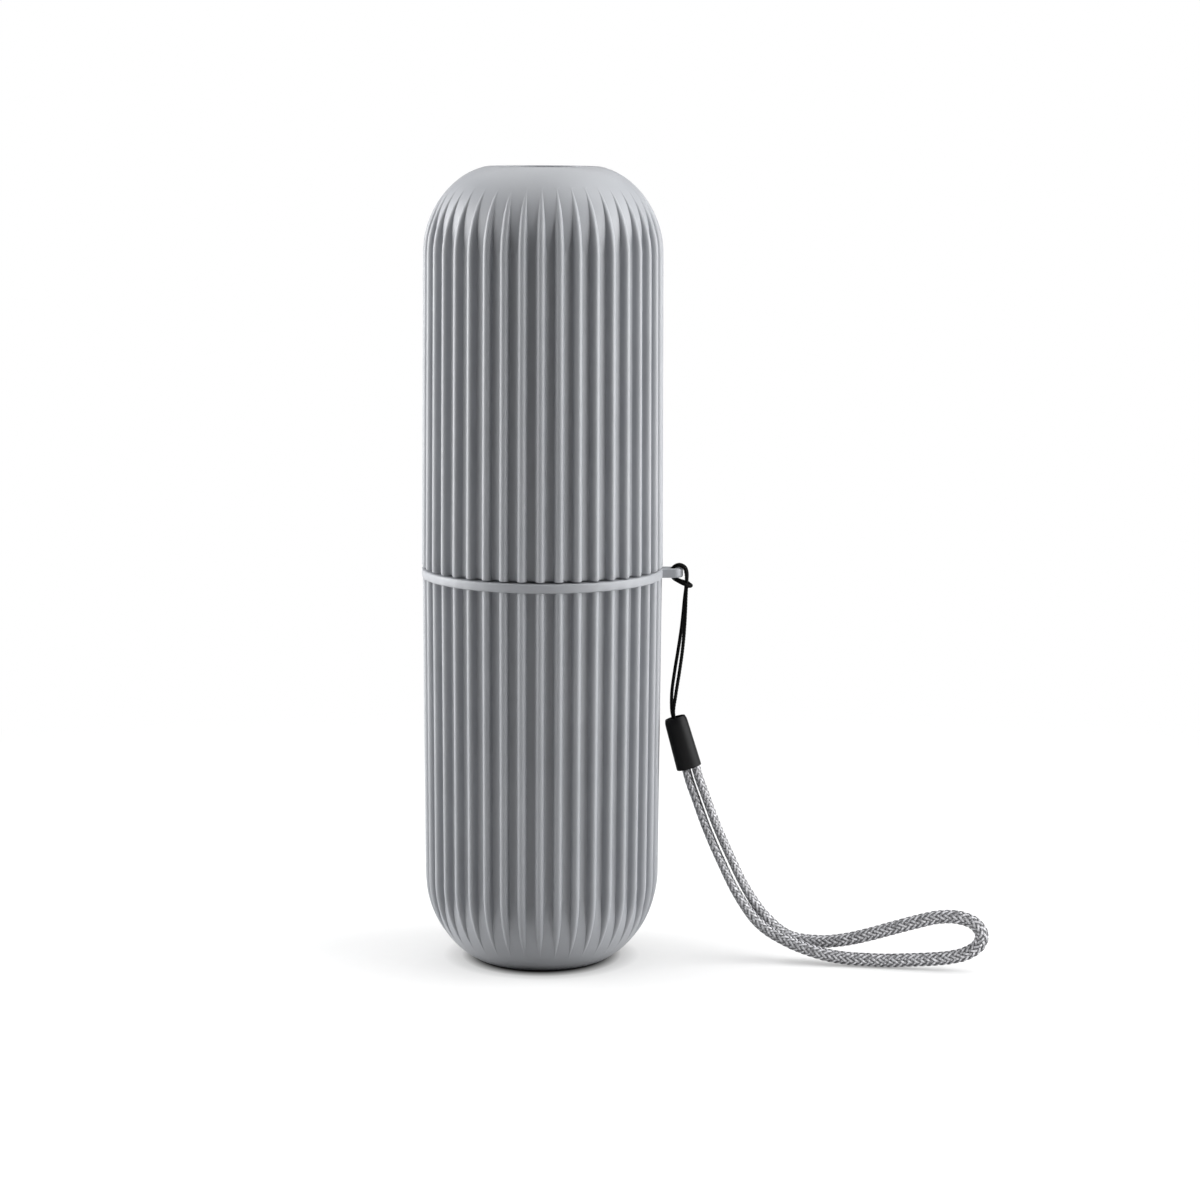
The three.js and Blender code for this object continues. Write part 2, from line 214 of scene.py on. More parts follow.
class CaseSizes(bpy.types.PropertyGroup):
    """Sizes of the two ribbed mouldings"""

    rim_radius: length("Rim radius", "Flange, and rib crests at the lid's rim", lid_high.x)
    top: length("Top", "Flat end of the lid above the floor", lid_high.z)
    seam: length("Seam", "Lid rim above the floor", lid_low.z)
    mouth: length("Mouth", "Top of the cup's collar above the floor", cup_high.z)
    lug_tip: length("Lug tip", "Round end of the lug, out from the axis", cup_high.x)
    taper: length("Taper", "How much each half narrows from mouth to dome", 0.0005)
    wall: length("Wall", "Groove floor to the inside", 0.002)
    dome_radius: length("Dome radius", "Round of the lid's groove floors over its closed end", 0.018)
    foot_radius: length("Dome foot radius", "Where that round would meet the flat end", 0.0143)
    foot_round: length("Dome foot round", "Rounded edge between the dome and its flat end", 0.008)
    base_radius: length("Base radius", "Round of the cup's groove floors over its base", 0.01933)
    base_foot: length("Base foot radius", "Where that round would meet the floor", 0.01689)
    base_foot_round: length("Base foot round", "Rounded edge between the base and its foot ring", 0.0046)
    recess_radius: length("Recess radius", "Shallow recess in each flat end", 0.012)
    recess_depth: length("Recess depth", "Depth of that recess", 0.0006)
    recess_round: length("Recess round", "Rounded edges of that recess", 0.00022)
    rib_count: count("Ribs", "Ribs round each half", 40)
    rib_height: length("Rib height", "Groove floor to crest", 0.002)
    rib_half: length("Rib half width", "Half the width of a rib", 0.00116)
    rib_top: length("Rib top", "Height of a rib's oval top", 0.0014)
    rib_root: length("Rib root", "Fillet where the rib meets the groove", 0.0006)
    rib_end_radius: length("Rib end radius", "Round of the lid's crests over its dome", 0.0238)
    rib_end_angle: angle("Rib end angle", "How far up the dome the ribs die away", 46)
    base_rib_radius: length("Base rib radius", "Round of the cup's crests over its base", 0.02663)
    base_rib_angle: angle("Base rib angle", "How far down the base the ribs die away", 42)
    rim_round: length("Rim round", "Rounded edge of the lid's rim", 0.00045)
    flange_height: length("Flange height", "Height of the flange and the lug", 0.0024)
    flange_step: length("Flange step", "Flange proud of the cup's crests", 0.0002)
    flange_round: length("Flange round", "Rounded edges of the flange", 0.0005)
    collar_height: length("Collar height", "Collar above the flange", 0.012)
    collar_wall: length("Collar wall", "Thickness of the collar", 0.0011)
    collar_round: length("Collar round", "Rounded lead-in and foot of the collar", 0.00035)
    bead_height: length("Bead height", "Ring round the collar that the lid grips", 0.00015)
    bead_width: length("Bead width", "Width of that ring", 0.0014)
    fit_gap: length("Fit gap", "Lid to collar", 0.0003)
    lug_hole: length("Lug hole", "Radius of the hole in the lug", 0.00135)
    lug_bar: length("Lug bar", "Material round the hole", 0.00105)
    lug_round: length("Lug round", "Rounded edges of the lug", 0.00045)
    hole_round: length("Hole round", "Rounded edges of the lug's hole", 0.0003)


class LanyardSizes(bpy.types.PropertyGroup):
    """Sizes of the loop cord, the sleeve and the wrist cord"""

    turn: angle("Turn", "Direction in which the lanyard trails", -11)
    loop_diameter: length("Loop cord", "Diameter of the thin cord over its yarns", 0.00096)
    loop_length: length("Loop cord length", "From sleeve to sleeve", 0.108)
    loop_lay: length("Loop cord lay", "One turn of a yarn round the thin cord", 0.0032)
    loop_yarns: count("Loop yarns", "Yarns each way round the thin cord", 4)
    loop_yarn_width: length("Loop yarn width", "Width of one of its yarns", 0.00041)
    loop_yarn_thickness: length("Loop yarn thickness", "Thickness of one of its yarns", 0.00013)
    hitch_clearance: length("Hitch clearance", "Thin cord to the bar that it goes round", 0.00027)
    hitch_inset: length("Hitch inset", "Middle of its turn, inwards from the bar's middle", 0.00048)
    bight_drop: length("Bight drop", "Bight of the hitch below that turn", 0.0014)
    strand_bow: length("Strand bow", "How far each hanging strand stands out at its middle", 0.00072)
    end_bow: length("End bow", "The same at the sleeve and below the hitch", 0.00028)
    strand_gap: length("Strand gap", "Between the strands of the thin cord", 0.00024)
    strand_lean: length("Strand lean", "Thin cord's strands, inwards from the sleeve's middle", 0.00025)
    sleeve_top: place("Sleeve top", "Its middle, out from the lug's hole and up", (0.00035, 0, 0.0644))
    sleeve_length: length("Sleeve length", "Length of the moulded sleeve", 0.0148)
    sleeve_radius: length("Sleeve radius", "Outside of the sleeve at its lower end", 0.0033)
    sleeve_flare: length("Sleeve flare", "How much narrower its upper end is", 0.00036)
    sleeve_round: length("Sleeve round", "Rounded upper edge, across", 0.00166)
    sleeve_dome: ratio("Sleeve dome", "How much taller than that it is", 1.7)
    sleeve_edge: length("Sleeve edge", "Small round of the lower edge", 0.0003)
    sleeve_bore: length("Sleeve bore", "Where the loop cord goes in", 0.00125)
    sleeve_bore_depth: length("Sleeve bore depth", "Depth of that bore", 0.003)
    sleeve_lip: length("Sleeve lip", "Softened edge of the bore and the socket", 0.00012)
    socket_rim: length("Socket rim", "Flat rim round the socket of the wrist cord", 0.0001)
    socket_depth: length("Socket depth", "Depth of that socket", 0.0013)
    sleeve_tilt: angle("Sleeve tilt", "Lower end outwards", 16.5)
    wrist_diameter: length("Wrist cord", "Diameter of the braid over its yarns", 0.0033)
    wrist_length: length("Wrist cord length", "From sleeve to sleeve", 0.2155)
    wrist_inside: length("Wrist cord inside", "How far its ends go into the sleeve", 0.0012)
    wrist_lay: length("Wrist cord lay", "One turn of a yarn round the braid", 0.0136)
    wrist_yarns: count("Yarns", "Yarns each way round the braid", 8)
    yarn_width: length("Yarn width", "Width of one flat yarn", 0.00084)
    yarn_thickness: length("Yarn thickness", "Thickness of one flat yarn", 0.00042)
    pair_turn: angle("Pair turn", "Its strands turned out of the lanyard's plane, at the sleeve", 6)
    pair_turn_low: angle("Pair turn, low", "The same above the floor", 84)
    pair_gap: length("Pair gap", "Between its strands below the sleeve", 0.00042)
    pair_flat: ratio("Pair flat", "Share that the strands are pressed to", 0.65)
    pair_length: length("Pair length", "How far down from the sleeve they stay pressed", 0.034)
    pair_end: length("Pair end", "Where they are round again", 0.056)
    pair_lean: length("Pair lean", "Its strands, outwards from the sleeve's middle", 0.00045)
    loop_swell: ratio("Loop swell", "How much fuller the loop's far part is", 1.12)
    swell_start: length("Swell start", "From here on it is so much fuller", 0.082)
    touch_gap: length("Touch gap", "Between pieces of the lanyard", 0.0003)


class FinishColours(bpy.types.PropertyGroup):
    """Colours of the finishes"""

    plastic: colour("Case plastic", "Satin grey of the mouldings", (0.31, 0.32, 0.34))
    plastic_light: colour("Case plastic, light", "Palest tone of it", (0.34, 0.35, 0.37))
    sleeve: colour("Sleeve", "Black of the sleeve", (0.003, 0.003, 0.0035))
    sleeve_light: colour("Sleeve, light", "Palest tone of it", (0.005, 0.005, 0.0055))
    # Braids: the dark colour is the painted shade in the gaps and off the crowns, the light one the crowns
    # and painted highlight flecks
    loop: colour("Loop cord", "Black of the thin cord", (0.001, 0.001, 0.001))
    loop_light: colour("Loop cord, light", "Palest fibres of it", (0.004, 0.004, 0.004))
    yarn: colour("Wrist yarn", "Dark of the silver-grey braid, in its gaps", (0.03, 0.03, 0.033))
    yarn_light: colour("Wrist yarn, light", "Palest fibres of it", (0.6, 0.6, 0.625))


class StageSizes(bpy.types.PropertyGroup):
    """Camera, lamps and floor"""

    camera: place("Camera", "Place of the camera", (0.01488, -0.8077, 0.2185))
    pitch: angle("Pitch", "How far the camera looks down", 8.76)
    roll: angle("Roll", "How far the camera leans", 0.31)
    lens: FloatProperty(name="Lens", description="Focal length", default=94.93, unit="CAMERA")
    clip_start: length("Clip start", "Nearest that the camera sees", 0.01)
    floor_radius: length("Floor radius", "Size of the floor", 4.0)
    floor_drop: length("Floor drop", "Floor below the foot", 0.00002)
    fade_start: length("Fade start", "Where the floor starts to fade to white", 0.16)
    fade_end: length("Fade end", "Where the floor is plain white", 0.34)
    # Painted shadow on the floor round the foot: where it starts, where it mostly ends and where it fades out
    painted_shadow_start: length("Contact start", "Inside this the floor is shaded by the foot", 0.0178)
    painted_shadow_end: length("Contact end", "Outside this it is only a little darker", 0.0224)
    painted_shadow_far: length("Contact far", "Outside this it is not", 0.075)
    # Painted shade: the floor's glow dims under anything this close above it
    painted_shade_reach: length("Shade reach", "How close above the floor a thing dims its glow", 0.005)
    strip_distance: length("Strip distance", "Soft boxes from the case", 0.62)
    strip_height: length("Strip height", "Middle of the soft boxes above the floor", 0.2)
    strip_width: length("Strip width", "Width of one strip of a soft box", 0.22)
    strip_length: length("Strip length", "Upright length of it", 0.6)
    top_lamp: watts("Top lamp", 2.9)
    upper_right_lamp: watts("Upper right lamp", 1.5)
    back_lamp: watts("Back lamp", 0.7)
    loop_lamp: watts("Loop lamp", 0.011)
    loop_lamp_spread: angle("Loop lamp spread", "Width of its beam, which falls on the lanyard's loop", 24)
    ambient: ratio("Ambient", "Light from all round", 0.005)
    floor_tone: colour("Floor", "Tone of the floor", (0.41, 0.41, 0.41))
    floor_pale: colour("Floor, pale", "Palest tone of it", (0.43, 0.43, 0.43))
    # Colour of the shadow painted on the floor against the foot
    painted_foot_shadow: colour("Floor shade", "Tone of the floor against the foot", (0.03, 0.03, 0.03))
    floor_glow: ratio("Floor glow", "Whiteness that the floor shows by itself", 0.54)
    front_level: ratio("Front level", "How pale the front of the studio is in reflections", 0.02)
    behind_level: ratio("Behind level", "How pale the studio behind the case is in reflections", 0.05)


# Selecting, editing and finishing


def deselect():
    """Nothing selected, so that an operator acts only on what comes next"""
    bpy.ops.object.select_all(action="DESELECT")


def activate(piece):
    """Only this piece selected and active"""
    deselect()
    piece.select_set(True)
    bpy.context.view_layer.objects.active = piece


def select_where(piece, kind, test):
    """Edit mode, with only the vertices, edges or faces selected whose corners pass the test"""
    activate(piece)
    bpy.ops.object.mode_set(mode="EDIT")
    bpy.ops.mesh.select_mode(type={"vertices": "VERT", "edges": "EDGE", "polygons": "FACE"}[kind])
    bpy.ops.mesh.select_all(action="DESELECT")
    bpy.ops.object.mode_set(mode="OBJECT")
    mesh = piece.data
    chosen = 0
    for element in getattr(mesh, kind):
        indices = [element.index] if kind == "vertices" else element.vertices
        element.select = test([mesh.vertices[i].co for i in indices])
        chosen += element.select
    if not chosen:
        raise RuntimeError(f"{piece.name}: no {kind} pass the test")
    bpy.ops.object.mode_set(mode="EDIT")


def object_mode():
    """Back from edit mode"""
    bpy.ops.object.mode_set(mode="OBJECT")


def round_edges(piece, test, radius, steps):
    """The edges whose corners pass the test, rounded"""
    select_where(piece, "edges", test)
    bpy.ops.mesh.bevel(offset=radius, segments=steps, affect="EDGES")
    object_mode()


def cut_or_join(piece, other, operation):
    """Joins or cuts piece with the other solid, which is used up"""
    activate(piece)
    modifier = piece.modifiers.new("Join", "BOOLEAN")
    modifier.operation = operation
    modifier.solver = "EXACT"
    modifier.object = other
    bpy.ops.object.modifier_apply(modifier=modifier.name)
    bpy.data.objects.remove(other, do_unlink=True)


def close_up(piece):
    """Doubles merged and faces pointing outwards"""
    activate(piece)
    bpy.ops.object.mode_set(mode="EDIT")
    bpy.ops.mesh.select_all(action="SELECT")
    bpy.ops.mesh.remove_doubles(threshold=MERGE_DISTANCE)
    bpy.ops.mesh.delete_loose()
    bpy.ops.mesh.select_all(action="SELECT")
    bpy.ops.mesh.normals_make_consistent(inside=False)
    object_mode()


def settle(piece):
    """The piece's place goes into its mesh"""
    activate(piece)
    bpy.ops.object.transform_apply(location=True, rotation=True, scale=True)


def smooth(piece, degrees):
    """Smooth shading across all but the sharp edges"""
    activate(piece)
    bpy.ops.object.shade_smooth_by_angle(angle=math.radians(degrees))


def dress(piece, material, body, slot, *nodes):
    """The piece's finish, the body that it moves with, and the nodes that it stands for"""
    piece.data.materials.clear()
    piece.data.materials.append(material)
    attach(piece, body)
    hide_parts(*nodes)


# Finishes


def add_node(tree, kind, settings=None, inputs=None):
    """A node with its settings and the plain values of its inputs"""
    made = tree.nodes.new(kind)
    for key, value in (settings or {}).items():
        setattr(made, key, value)
    for key, value in (inputs or {}).items():
        made.inputs[key].default_value = value
    return made


def new_group(name, inputs, outputs):
    """An empty node group with these sockets, and its two end nodes"""
    tree = bpy.data.node_groups.new(name, "ShaderNodeTree")
    for socket, kind in inputs.items():
        tree.interface.new_socket(name=socket, in_out="INPUT", socket_type=kind)
    for socket in outputs:
        tree.interface.new_socket(name=socket, in_out="OUTPUT", socket_type="NodeSocketFloat")
    return tree, tree.nodes.new("NodeGroupInput"), tree.nodes.new("NodeGroupOutput")


def moulded_grain():
    """Fine spark-eroded grain of a moulding, and the broad mottle that handling leaves on it"""
    name = "moulded_grain"
    if name in bpy.data.node_groups:
        return bpy.data.node_groups[name]
    sockets = {
        "Vector": "NodeSocketVector",
        "Grain Scale": "NodeSocketFloat",
        "Mottle Scale": "NodeSocketFloat",
    }
    tree, start, end = new_group(name, sockets, ("Grain", "Mottle"))
    link = tree.links.new
    grain = add_node(tree, "ShaderNodeTexNoise", inputs={"Detail": 3.0, "Roughness": 0.6})
    mottle = add_node(tree, "ShaderNodeTexNoise", inputs={"Detail": 4.0, "Roughness": 0.55})
    for noise, scale in ((grain, "Grain Scale"), (mottle, "Mottle Scale")):
        link(start.outputs["Vector"], noise.inputs["Vector"])
        link(start.outputs[scale], noise.inputs["Scale"])
    link(grain.outputs["Fac"], end.inputs["Grain"])
    link(mottle.outputs["Fac"], end.inputs["Mottle"])
    return tree


def yarn_fibres():
    """Fibres that run along a yarn, flecks of painted highlight, and painted shade that is lightest on the
    yarn's crown
    and dark in the gaps: the map runs along the yarn and then once round it, with the crown a quarter of the
    way round"""
    name = "yarn_fibres"
    if name in bpy.data.node_groups:
        return bpy.data.node_groups[name]
    sockets = {
        "Vector": "NodeSocketVector",
        "Along": "NodeSocketFloat",
        "Around": "NodeSocketFloat",
    }
    tree, start, end = new_group(name, sockets, ("Fibre", "Fleck", "Crown"))
    link = tree.links.new
    stretch = add_node(tree, "ShaderNodeCombineXYZ", inputs={"Z": 1.0})
    link(start.outputs["Along"], stretch.inputs["X"])
    link(start.outputs["Around"], stretch.inputs["Y"])
    scaled = add_node(tree, "ShaderNodeVectorMath", {"operation": "MULTIPLY"})
    link(start.outputs["Vector"], scaled.inputs[0])
    link(stretch.outputs["Vector"], scaled.inputs[1])
    fibre = add_node(tree, "ShaderNodeTexNoise", inputs={"Scale": 1.0, "Detail": 3.0, "Roughness": 0.7})
    # Painted highlights: random pale flecks on the yarns
    painted_glint = add_node(tree, "ShaderNodeTexNoise", inputs={"Scale": 1.4, "Detail": 2.0, "Roughness": 0.5})
    link(scaled.outputs["Vector"], fibre.inputs["Vector"])
    link(start.outputs["Vector"], painted_glint.inputs["Vector"])
    axes = add_node(tree, "ShaderNodeSeparateXYZ")
    link(start.outputs["Vector"], axes.inputs["Vector"])
    # Painted shade: pale on the yarn's crown, dark round its sides and in the gaps
    painted_crown_shade = add_node(tree, "ShaderNodeMath", {"operation": "SINE"})
    link(arithmetic(tree, "MULTIPLY", axes.outputs["Y"], FULL_TURN), painted_crown_shade.inputs[0])
    link(fibre.outputs["Fac"], end.inputs["Fibre"])
    link(painted_glint.outputs["Fac"], end.inputs["Fleck"])
    link(painted_crown_shade.outputs["Value"], end.inputs["Crown"])
    return tree


def new_material(name):
    """A material, its nodes and its shader"""
    material = bpy.data.materials.new(name)
    material.use_nodes = True
    tree = material.node_tree
    return material, tree, tree.nodes["Principled BSDF"]


def feed(tree, socket, value):
    """A plain value or another node's output into a socket"""
    if isinstance(value, bpy.types.NodeSocket):
        tree.links.new(value, socket)
    else:
        socket.default_value = value


def arithmetic(tree, operation, *values):
    """Values put together by one operation, from the first to the last"""
    total = values[0]
    for value in values[1:]:
        made = add_node(tree, "ShaderNodeMath", {"operation": operation})
        feed(tree, made.inputs[0], total)
        feed(tree, made.inputs[1], value)
        total = made.outputs["Value"]
    return total


def stretch_between(tree, value, low, high, to_low=0.0, to_high=1.0, shape="LINEAR"):
    """A value stretched from one range to another and kept within it"""
    ends = {"From Min": low, "From Max": high, "To Min": to_low, "To Max": to_high}
    made = add_node(tree, "ShaderNodeMapRange", {"interpolation_type": shape}, ends)
    tree.links.new(value, made.inputs["Value"])
    return made.outputs["Result"]


def mix_colours(tree, factor, first, second):
    """Two colours, plain ones or other nodes' outputs, mixed by a value"""
    made = add_node(tree, "ShaderNodeMix", {"data_type": "RGBA"})
    for name, value in (("A", first), ("B", second)):
        feed(tree, made.inputs[name], value if isinstance(value, bpy.types.NodeSocket) else (*value, 1))
    tree.links.new(factor, made.inputs["Factor"])
    return made.outputs["Result"]


def bump(tree, height, depth, strength):
    """A normal that follows a height"""
    made = add_node(tree, "ShaderNodeBump", inputs={"Distance": depth, "Strength": strength})
    tree.links.new(height, made.inputs["Height"])
    return made.outputs["Normal"]


def moulded_material(name, dark, light, grain_scale, rough, specular):
    """A satin moulding: its tone and gloss wander a little, and its skin has a fine grain"""
    material, tree, shader = new_material(name)
    link = tree.links.new
    coordinates = add_node(tree, "ShaderNodeTexCoord")
    group = add_node(tree, "ShaderNodeGroup", {"node_tree": moulded_grain()})
    group.inputs["Grain Scale"].default_value = grain_scale
    group.inputs["Mottle Scale"].default_value = MOTTLE_SCALE
    link(coordinates.outputs["Object"], group.inputs["Vector"])
    mottle = stretch_between(tree, group.outputs["Mottle"], *MOTTLE_RANGE)
    link(mix_colours(tree, mottle, dark, light), shader.inputs["Base Color"])
    link(stretch_between(tree, group.outputs["Grain"], *GRAIN_RANGE, *rough), shader.inputs["Roughness"])
    link(bump(tree, group.outputs["Grain"], GRAIN_DEPTH, GRAIN_STRENGTH), shader.inputs["Normal"])
    shader.inputs["Specular IOR Level"].default_value = specular
    return material


def yarn_material(name, dark, light, roughness, specular):
    """Fibres along each yarn, with painted shade that leaves it pale on its crown and dark in the gaps, and
    flecks of painted highlight
    """
    material, tree, shader = new_material(name)
    link = tree.links.new
    coordinates = add_node(tree, "ShaderNodeTexCoord")
    group = add_node(tree, "ShaderNodeGroup", {"node_tree": yarn_fibres()})
    group.inputs["Along"].default_value = FIBRES_ALONG
    group.inputs["Around"].default_value = FIBRES_AROUND
    link(coordinates.outputs["UV"], group.inputs["Vector"])
    ranges = {"Crown": CROWN_SHADE_RANGE, "Fleck": PAINTED_GLINT_RANGE, "Fibre": FIBRE_RANGE}
    shares = [stretch_between(tree, group.outputs[share], *ends) for share, ends in ranges.items()]
    # The yarn's fibres, with painted shade off the crowns and painted highlight flecks
    tone = stretch_between(tree, arithmetic(tree, "MULTIPLY", *shares), 0.0, 1.0)
    link(mix_colours(tree, tone, dark, light), shader.inputs["Base Color"])
    rough = stretch_between(tree, tone, 0.0, 1.0, roughness + GAP_ROUGHNESS, roughness)
    link(rough, shader.inputs["Roughness"])
    link(bump(tree, group.outputs["Fibre"], FIBRE_DEPTH, FIBRE_STRENGTH), shader.inputs["Normal"])
    shader.inputs["Specular IOR Level"].default_value = specular
    return material


def case_plastic(finish):
    """The one finish of both halves"""
    name = "satin_plastic"
    if name in bpy.data.materials:
        return bpy.data.materials[name]
    return moulded_material(name, finish.plastic, finish.plastic_light, **CASE_GLOSS)


# Ribbed halves


class Row:
    """One row round a half: where the groove floor is, the step from there out to the rib's crest, how far
    the rib rises from the floor and, under the flange only, the share of the way to the flange's edge"""

    def __init__(self, radius, height, step=(0.0, 0.0), rise=0.0, under=None):
        self.radius = radius
        self.height = height
        self.step = step
        self.rise = rise
        self.under = under


class Arc:
    """Round of a closed end: leaves the straight wall and goes through a point"""

    def __init__(self, wall_radius, radius, through):
        self.radius = radius
        self.centre_radius = wall_radius - radius
        self.height = through.y + math.sqrt(radius**2 - (through.x - self.centre_radius) ** 2)

    def at(self, a):
        """Point of the round at an angle from level"""
        out = self.centre_radius + self.radius * math.cos(a)
        return Vector((out, self.height + self.radius * math.sin(a)))

    def centre(self):
        """Middle of the round"""
        return Vector((self.centre_radius, self.height))

    def met_from(self, start, way):
        """Where a line that starts inside the round and goes outwards meets it"""
        apart = self.centre() - start
        near = apart.dot(way)
        return start + (near + math.sqrt(near**2 - apart.length_squared + self.radius**2)) * way


class Half:
    """Sizes that the skin and the hollow of one half share. Each half is worked out standing on its closed
    end, as rows from the middle of its flat end, up its outside, over its mouth and down its inside."""

    def __init__(self, sizes, crest_radius, dome_radius, foot_radius, foot_round, rib_radius, rib_angle):
        self.foot_round = foot_round
        self.rib_angle = rib_angle
        self.rim_floor = crest_radius - sizes.rib_height
        self.wall_floor = self.rim_floor - sizes.taper
        self.floor_arc = Arc(self.wall_floor, dome_radius, Vector((foot_radius, 0.0)))
        rib_end = self.floor_arc.at(-rib_angle)
        self.crest_arc = Arc(self.wall_floor + sizes.rib_height, rib_radius, rib_end)
        self.inside_floor = sizes.recess_depth + sizes.wall


def cup_half(sizes):
    """The cup, whose base is fuller than the lid's dome"""
    crest = sizes.rim_radius - sizes.flange_step
    rounds = (sizes.base_radius, sizes.base_foot, sizes.base_foot_round)
    return Half(sizes, crest, *rounds, sizes.base_rib_radius, sizes.base_rib_angle)


def lid_half(sizes):
    """The lid, whose crests are as wide as the cup's flange"""
    rounds = (sizes.dome_radius, sizes.foot_radius, sizes.foot_round)
    return Half(sizes, sizes.rim_radius, *rounds, sizes.rib_end_radius, sizes.rib_end_angle)


def arc_rows(centre_radius, centre_height, radius, start, end, steps, skip_first=False, rise=0.0):
    """Rows along an arc, from one angle to another, with ribs that rise straight outwards"""
    rows = []
    for i in range(1 if skip_first else 0, steps + 1):
        a = start + (end - start) * i / steps
        across = centre_radius + radius * math.cos(a)
        rows.append(Row(across, centre_height + radius * math.sin(a), (rise, 0.0), rise))
    return rows


def rib_row(floor, crest):
    """A row whose ribs rise square to the floor"""
    step = crest - floor
    return Row(*floor, tuple(step), step.length)


def closed_end_rows(sizes, half):
    """The recess, the flat ring, the rounded edge and the dome, up to the straight wall"""
    soft = sizes.recess_round
    depth = sizes.recess_depth
    edge = sizes.recess_radius
    rows = [Row(edge * share, depth) for share in RECESS_SHARES]
    rows += arc_rows(edge - soft, depth - soft, soft, QUARTER, 0.0, SMALL_ROUND)
    rows += arc_rows(edge + soft, soft, soft, HALF_TURN, 3 * QUARTER, SMALL_ROUND)
    dome = half.floor_arc
    around = half.foot_round
    rise = dome.height - around
    foot_centre = dome.centre_radius + math.sqrt((dome.radius - around) ** 2 - rise**2)
    meet = -math.atan2(rise, foot_centre - dome.centre_radius)
    rows.append(Row((edge + 2 * soft + foot_centre) / 2, 0.0))
    rows += arc_rows(foot_centre, around, around, -QUARTER, meet, DOME_ROUND)
    rows += arc_rows(*dome.centre(), dome.radius, meet, -half.rib_angle, DOME_ROUND, skip_first=True)
    for i in range(1, RIB_ROWS + 1):
        slope = half.rib_angle * (i / RIB_ROWS - 1)
        outwards = Vector((math.cos(slope), math.sin(slope)))
        rows.append(rib_row(dome.at(slope), half.crest_arc.met_from(dome.centre(), outwards)))
    for share in CREST_SHARES:
        floor = dome.at(0.0)
        floor.y += share * (half.crest_arc.height - dome.height)
        rows.append(rib_row(floor, half.crest_arc.met_from(floor, Vector((1.0, 0.0)))))
    return rows


def wall_rows(sizes, half, top):
    """The straight ribbed wall, from where the crests leave their round to the height given"""
    rib = sizes.rib_height
    start = half.crest_arc.height
    rows = []
    for share in WALL_SHARES:
        radius = half.wall_floor + share * sizes.taper
        rows.append(Row(radius, start + share * (top - start), (rib, 0.0), rib))
    return rows


def inside_rows(sizes, half, top_radius, top_height):
    """The hollow, from its top down to the middle of its floor"""
    dome = half.floor_arc
    radius = dome.radius - sizes.wall
    floor = math.asin((dome.height - half.inside_floor) / radius)
    top = Vector((top_radius, top_height))
    bottom = Vector((dome.centre_radius + radius, dome.height))
    rows = [Row(*top.lerp(bottom, share)) for share in HOLLOW_SHARES]
    rows += arc_rows(*dome.centre(), radius, 0.0, -floor, HOLLOW_ROUND)
    edge = rows[-1].radius
    return rows + [Row(edge * share, half.inside_floor) for share in HOLLOW_FLOOR_SHARES]


def rib_section(sizes, height):
    """Half of a rib that stands this high out of the dome: distance across from its middle and share of
    that height, out to the groove. The rib keeps its section and sinks, so it narrows to a point."""
    sunk = max(0.0, sizes.rib_height - height)
    foot = sizes.rib_height - sizes.rib_top
    oval_end = math.acos(min(1.0, max(0.0, sunk - foot) / sizes.rib_top))
    points = []
    for i in range(OVAL_STEPS + 1):
        a = oval_end * i / OVAL_STEPS
        points.append((sizes.rib_half * math.sin(a), (foot + sizes.rib_top * math.cos(a) - sunk) / height))
    edge = points[-1][0]
    root_end = math.asin(max(0.0, 1 - sunk / sizes.rib_root))
    for i in range(ROOT_STEPS + 1):
        a = root_end * i / ROOT_STEPS
        across = edge + sizes.rib_root * max(1 - math.cos(a), ROOT_SPREAD * i)
        points.append((across, max(0.0, sizes.rib_root * (1 - math.sin(a)) - sunk) / height))
    return points


def across_pitch(sizes, height):
    """Stations across one pitch, from groove middle to groove middle: turn from the rib's middle, and share
    of the rib's height"""
    half_pitch = math.pi / sizes.rib_count
    stations = OVAL_STEPS + ROOT_STEPS + 2
    if height > MERGE_DISTANCE:
        right = [(across / sizes.rim_radius, level) for across, level in rib_section(sizes, height)]
    else:
        right = [(half_pitch * i / stations, 0.0) for i in range(stations)]
    right.append((half_pitch, 0.0))
    left = [(-turn, level) for turn, level in reversed(right[1:])]
    return left + right


def sector(name, sizes, rows, fit=None):
    """One pitch of a half, a grid whose points are set on the rows and stations, spun into the whole round"""
    columns = len(across_pitch(sizes, 0.0))
    deselect()
    bpy.ops.mesh.primitive_grid_add(x_subdivisions=columns - 1, y_subdivisions=len(rows) - 1, size=sizes.top)
    piece = bpy.context.object
    piece.name = name
    places = []
    for row in rows:
        for turn, level in across_pitch(sizes, row.rise):
            radius = row.radius + level * row.step[0]
            height = row.height + level * row.step[1]
            if fit:
                radius, height = fit(row, radius, height)
            places += (radius * math.sin(turn), -radius * math.cos(turn), height)
    piece.data.vertices.foreach_set("co", places)
    activate(piece)
    bpy.ops.object.mode_set(mode="EDIT")
    bpy.ops.mesh.select_all(action="SELECT")
    turns = sizes.rib_count - 1
    bpy.ops.mesh.spin(
        steps=turns,
        dupli=True,
        angle=FULL_TURN * turns / sizes.rib_count,
        center=(0, 0, 0),
        axis=(0, 0, 1),
    )
    object_mode()
    close_up(piece)
    return piece


def cup_collar_radius(sizes):
    """Outside of the collar"""
    return cup_half(sizes).rim_floor - sizes.wall + sizes.collar_wall


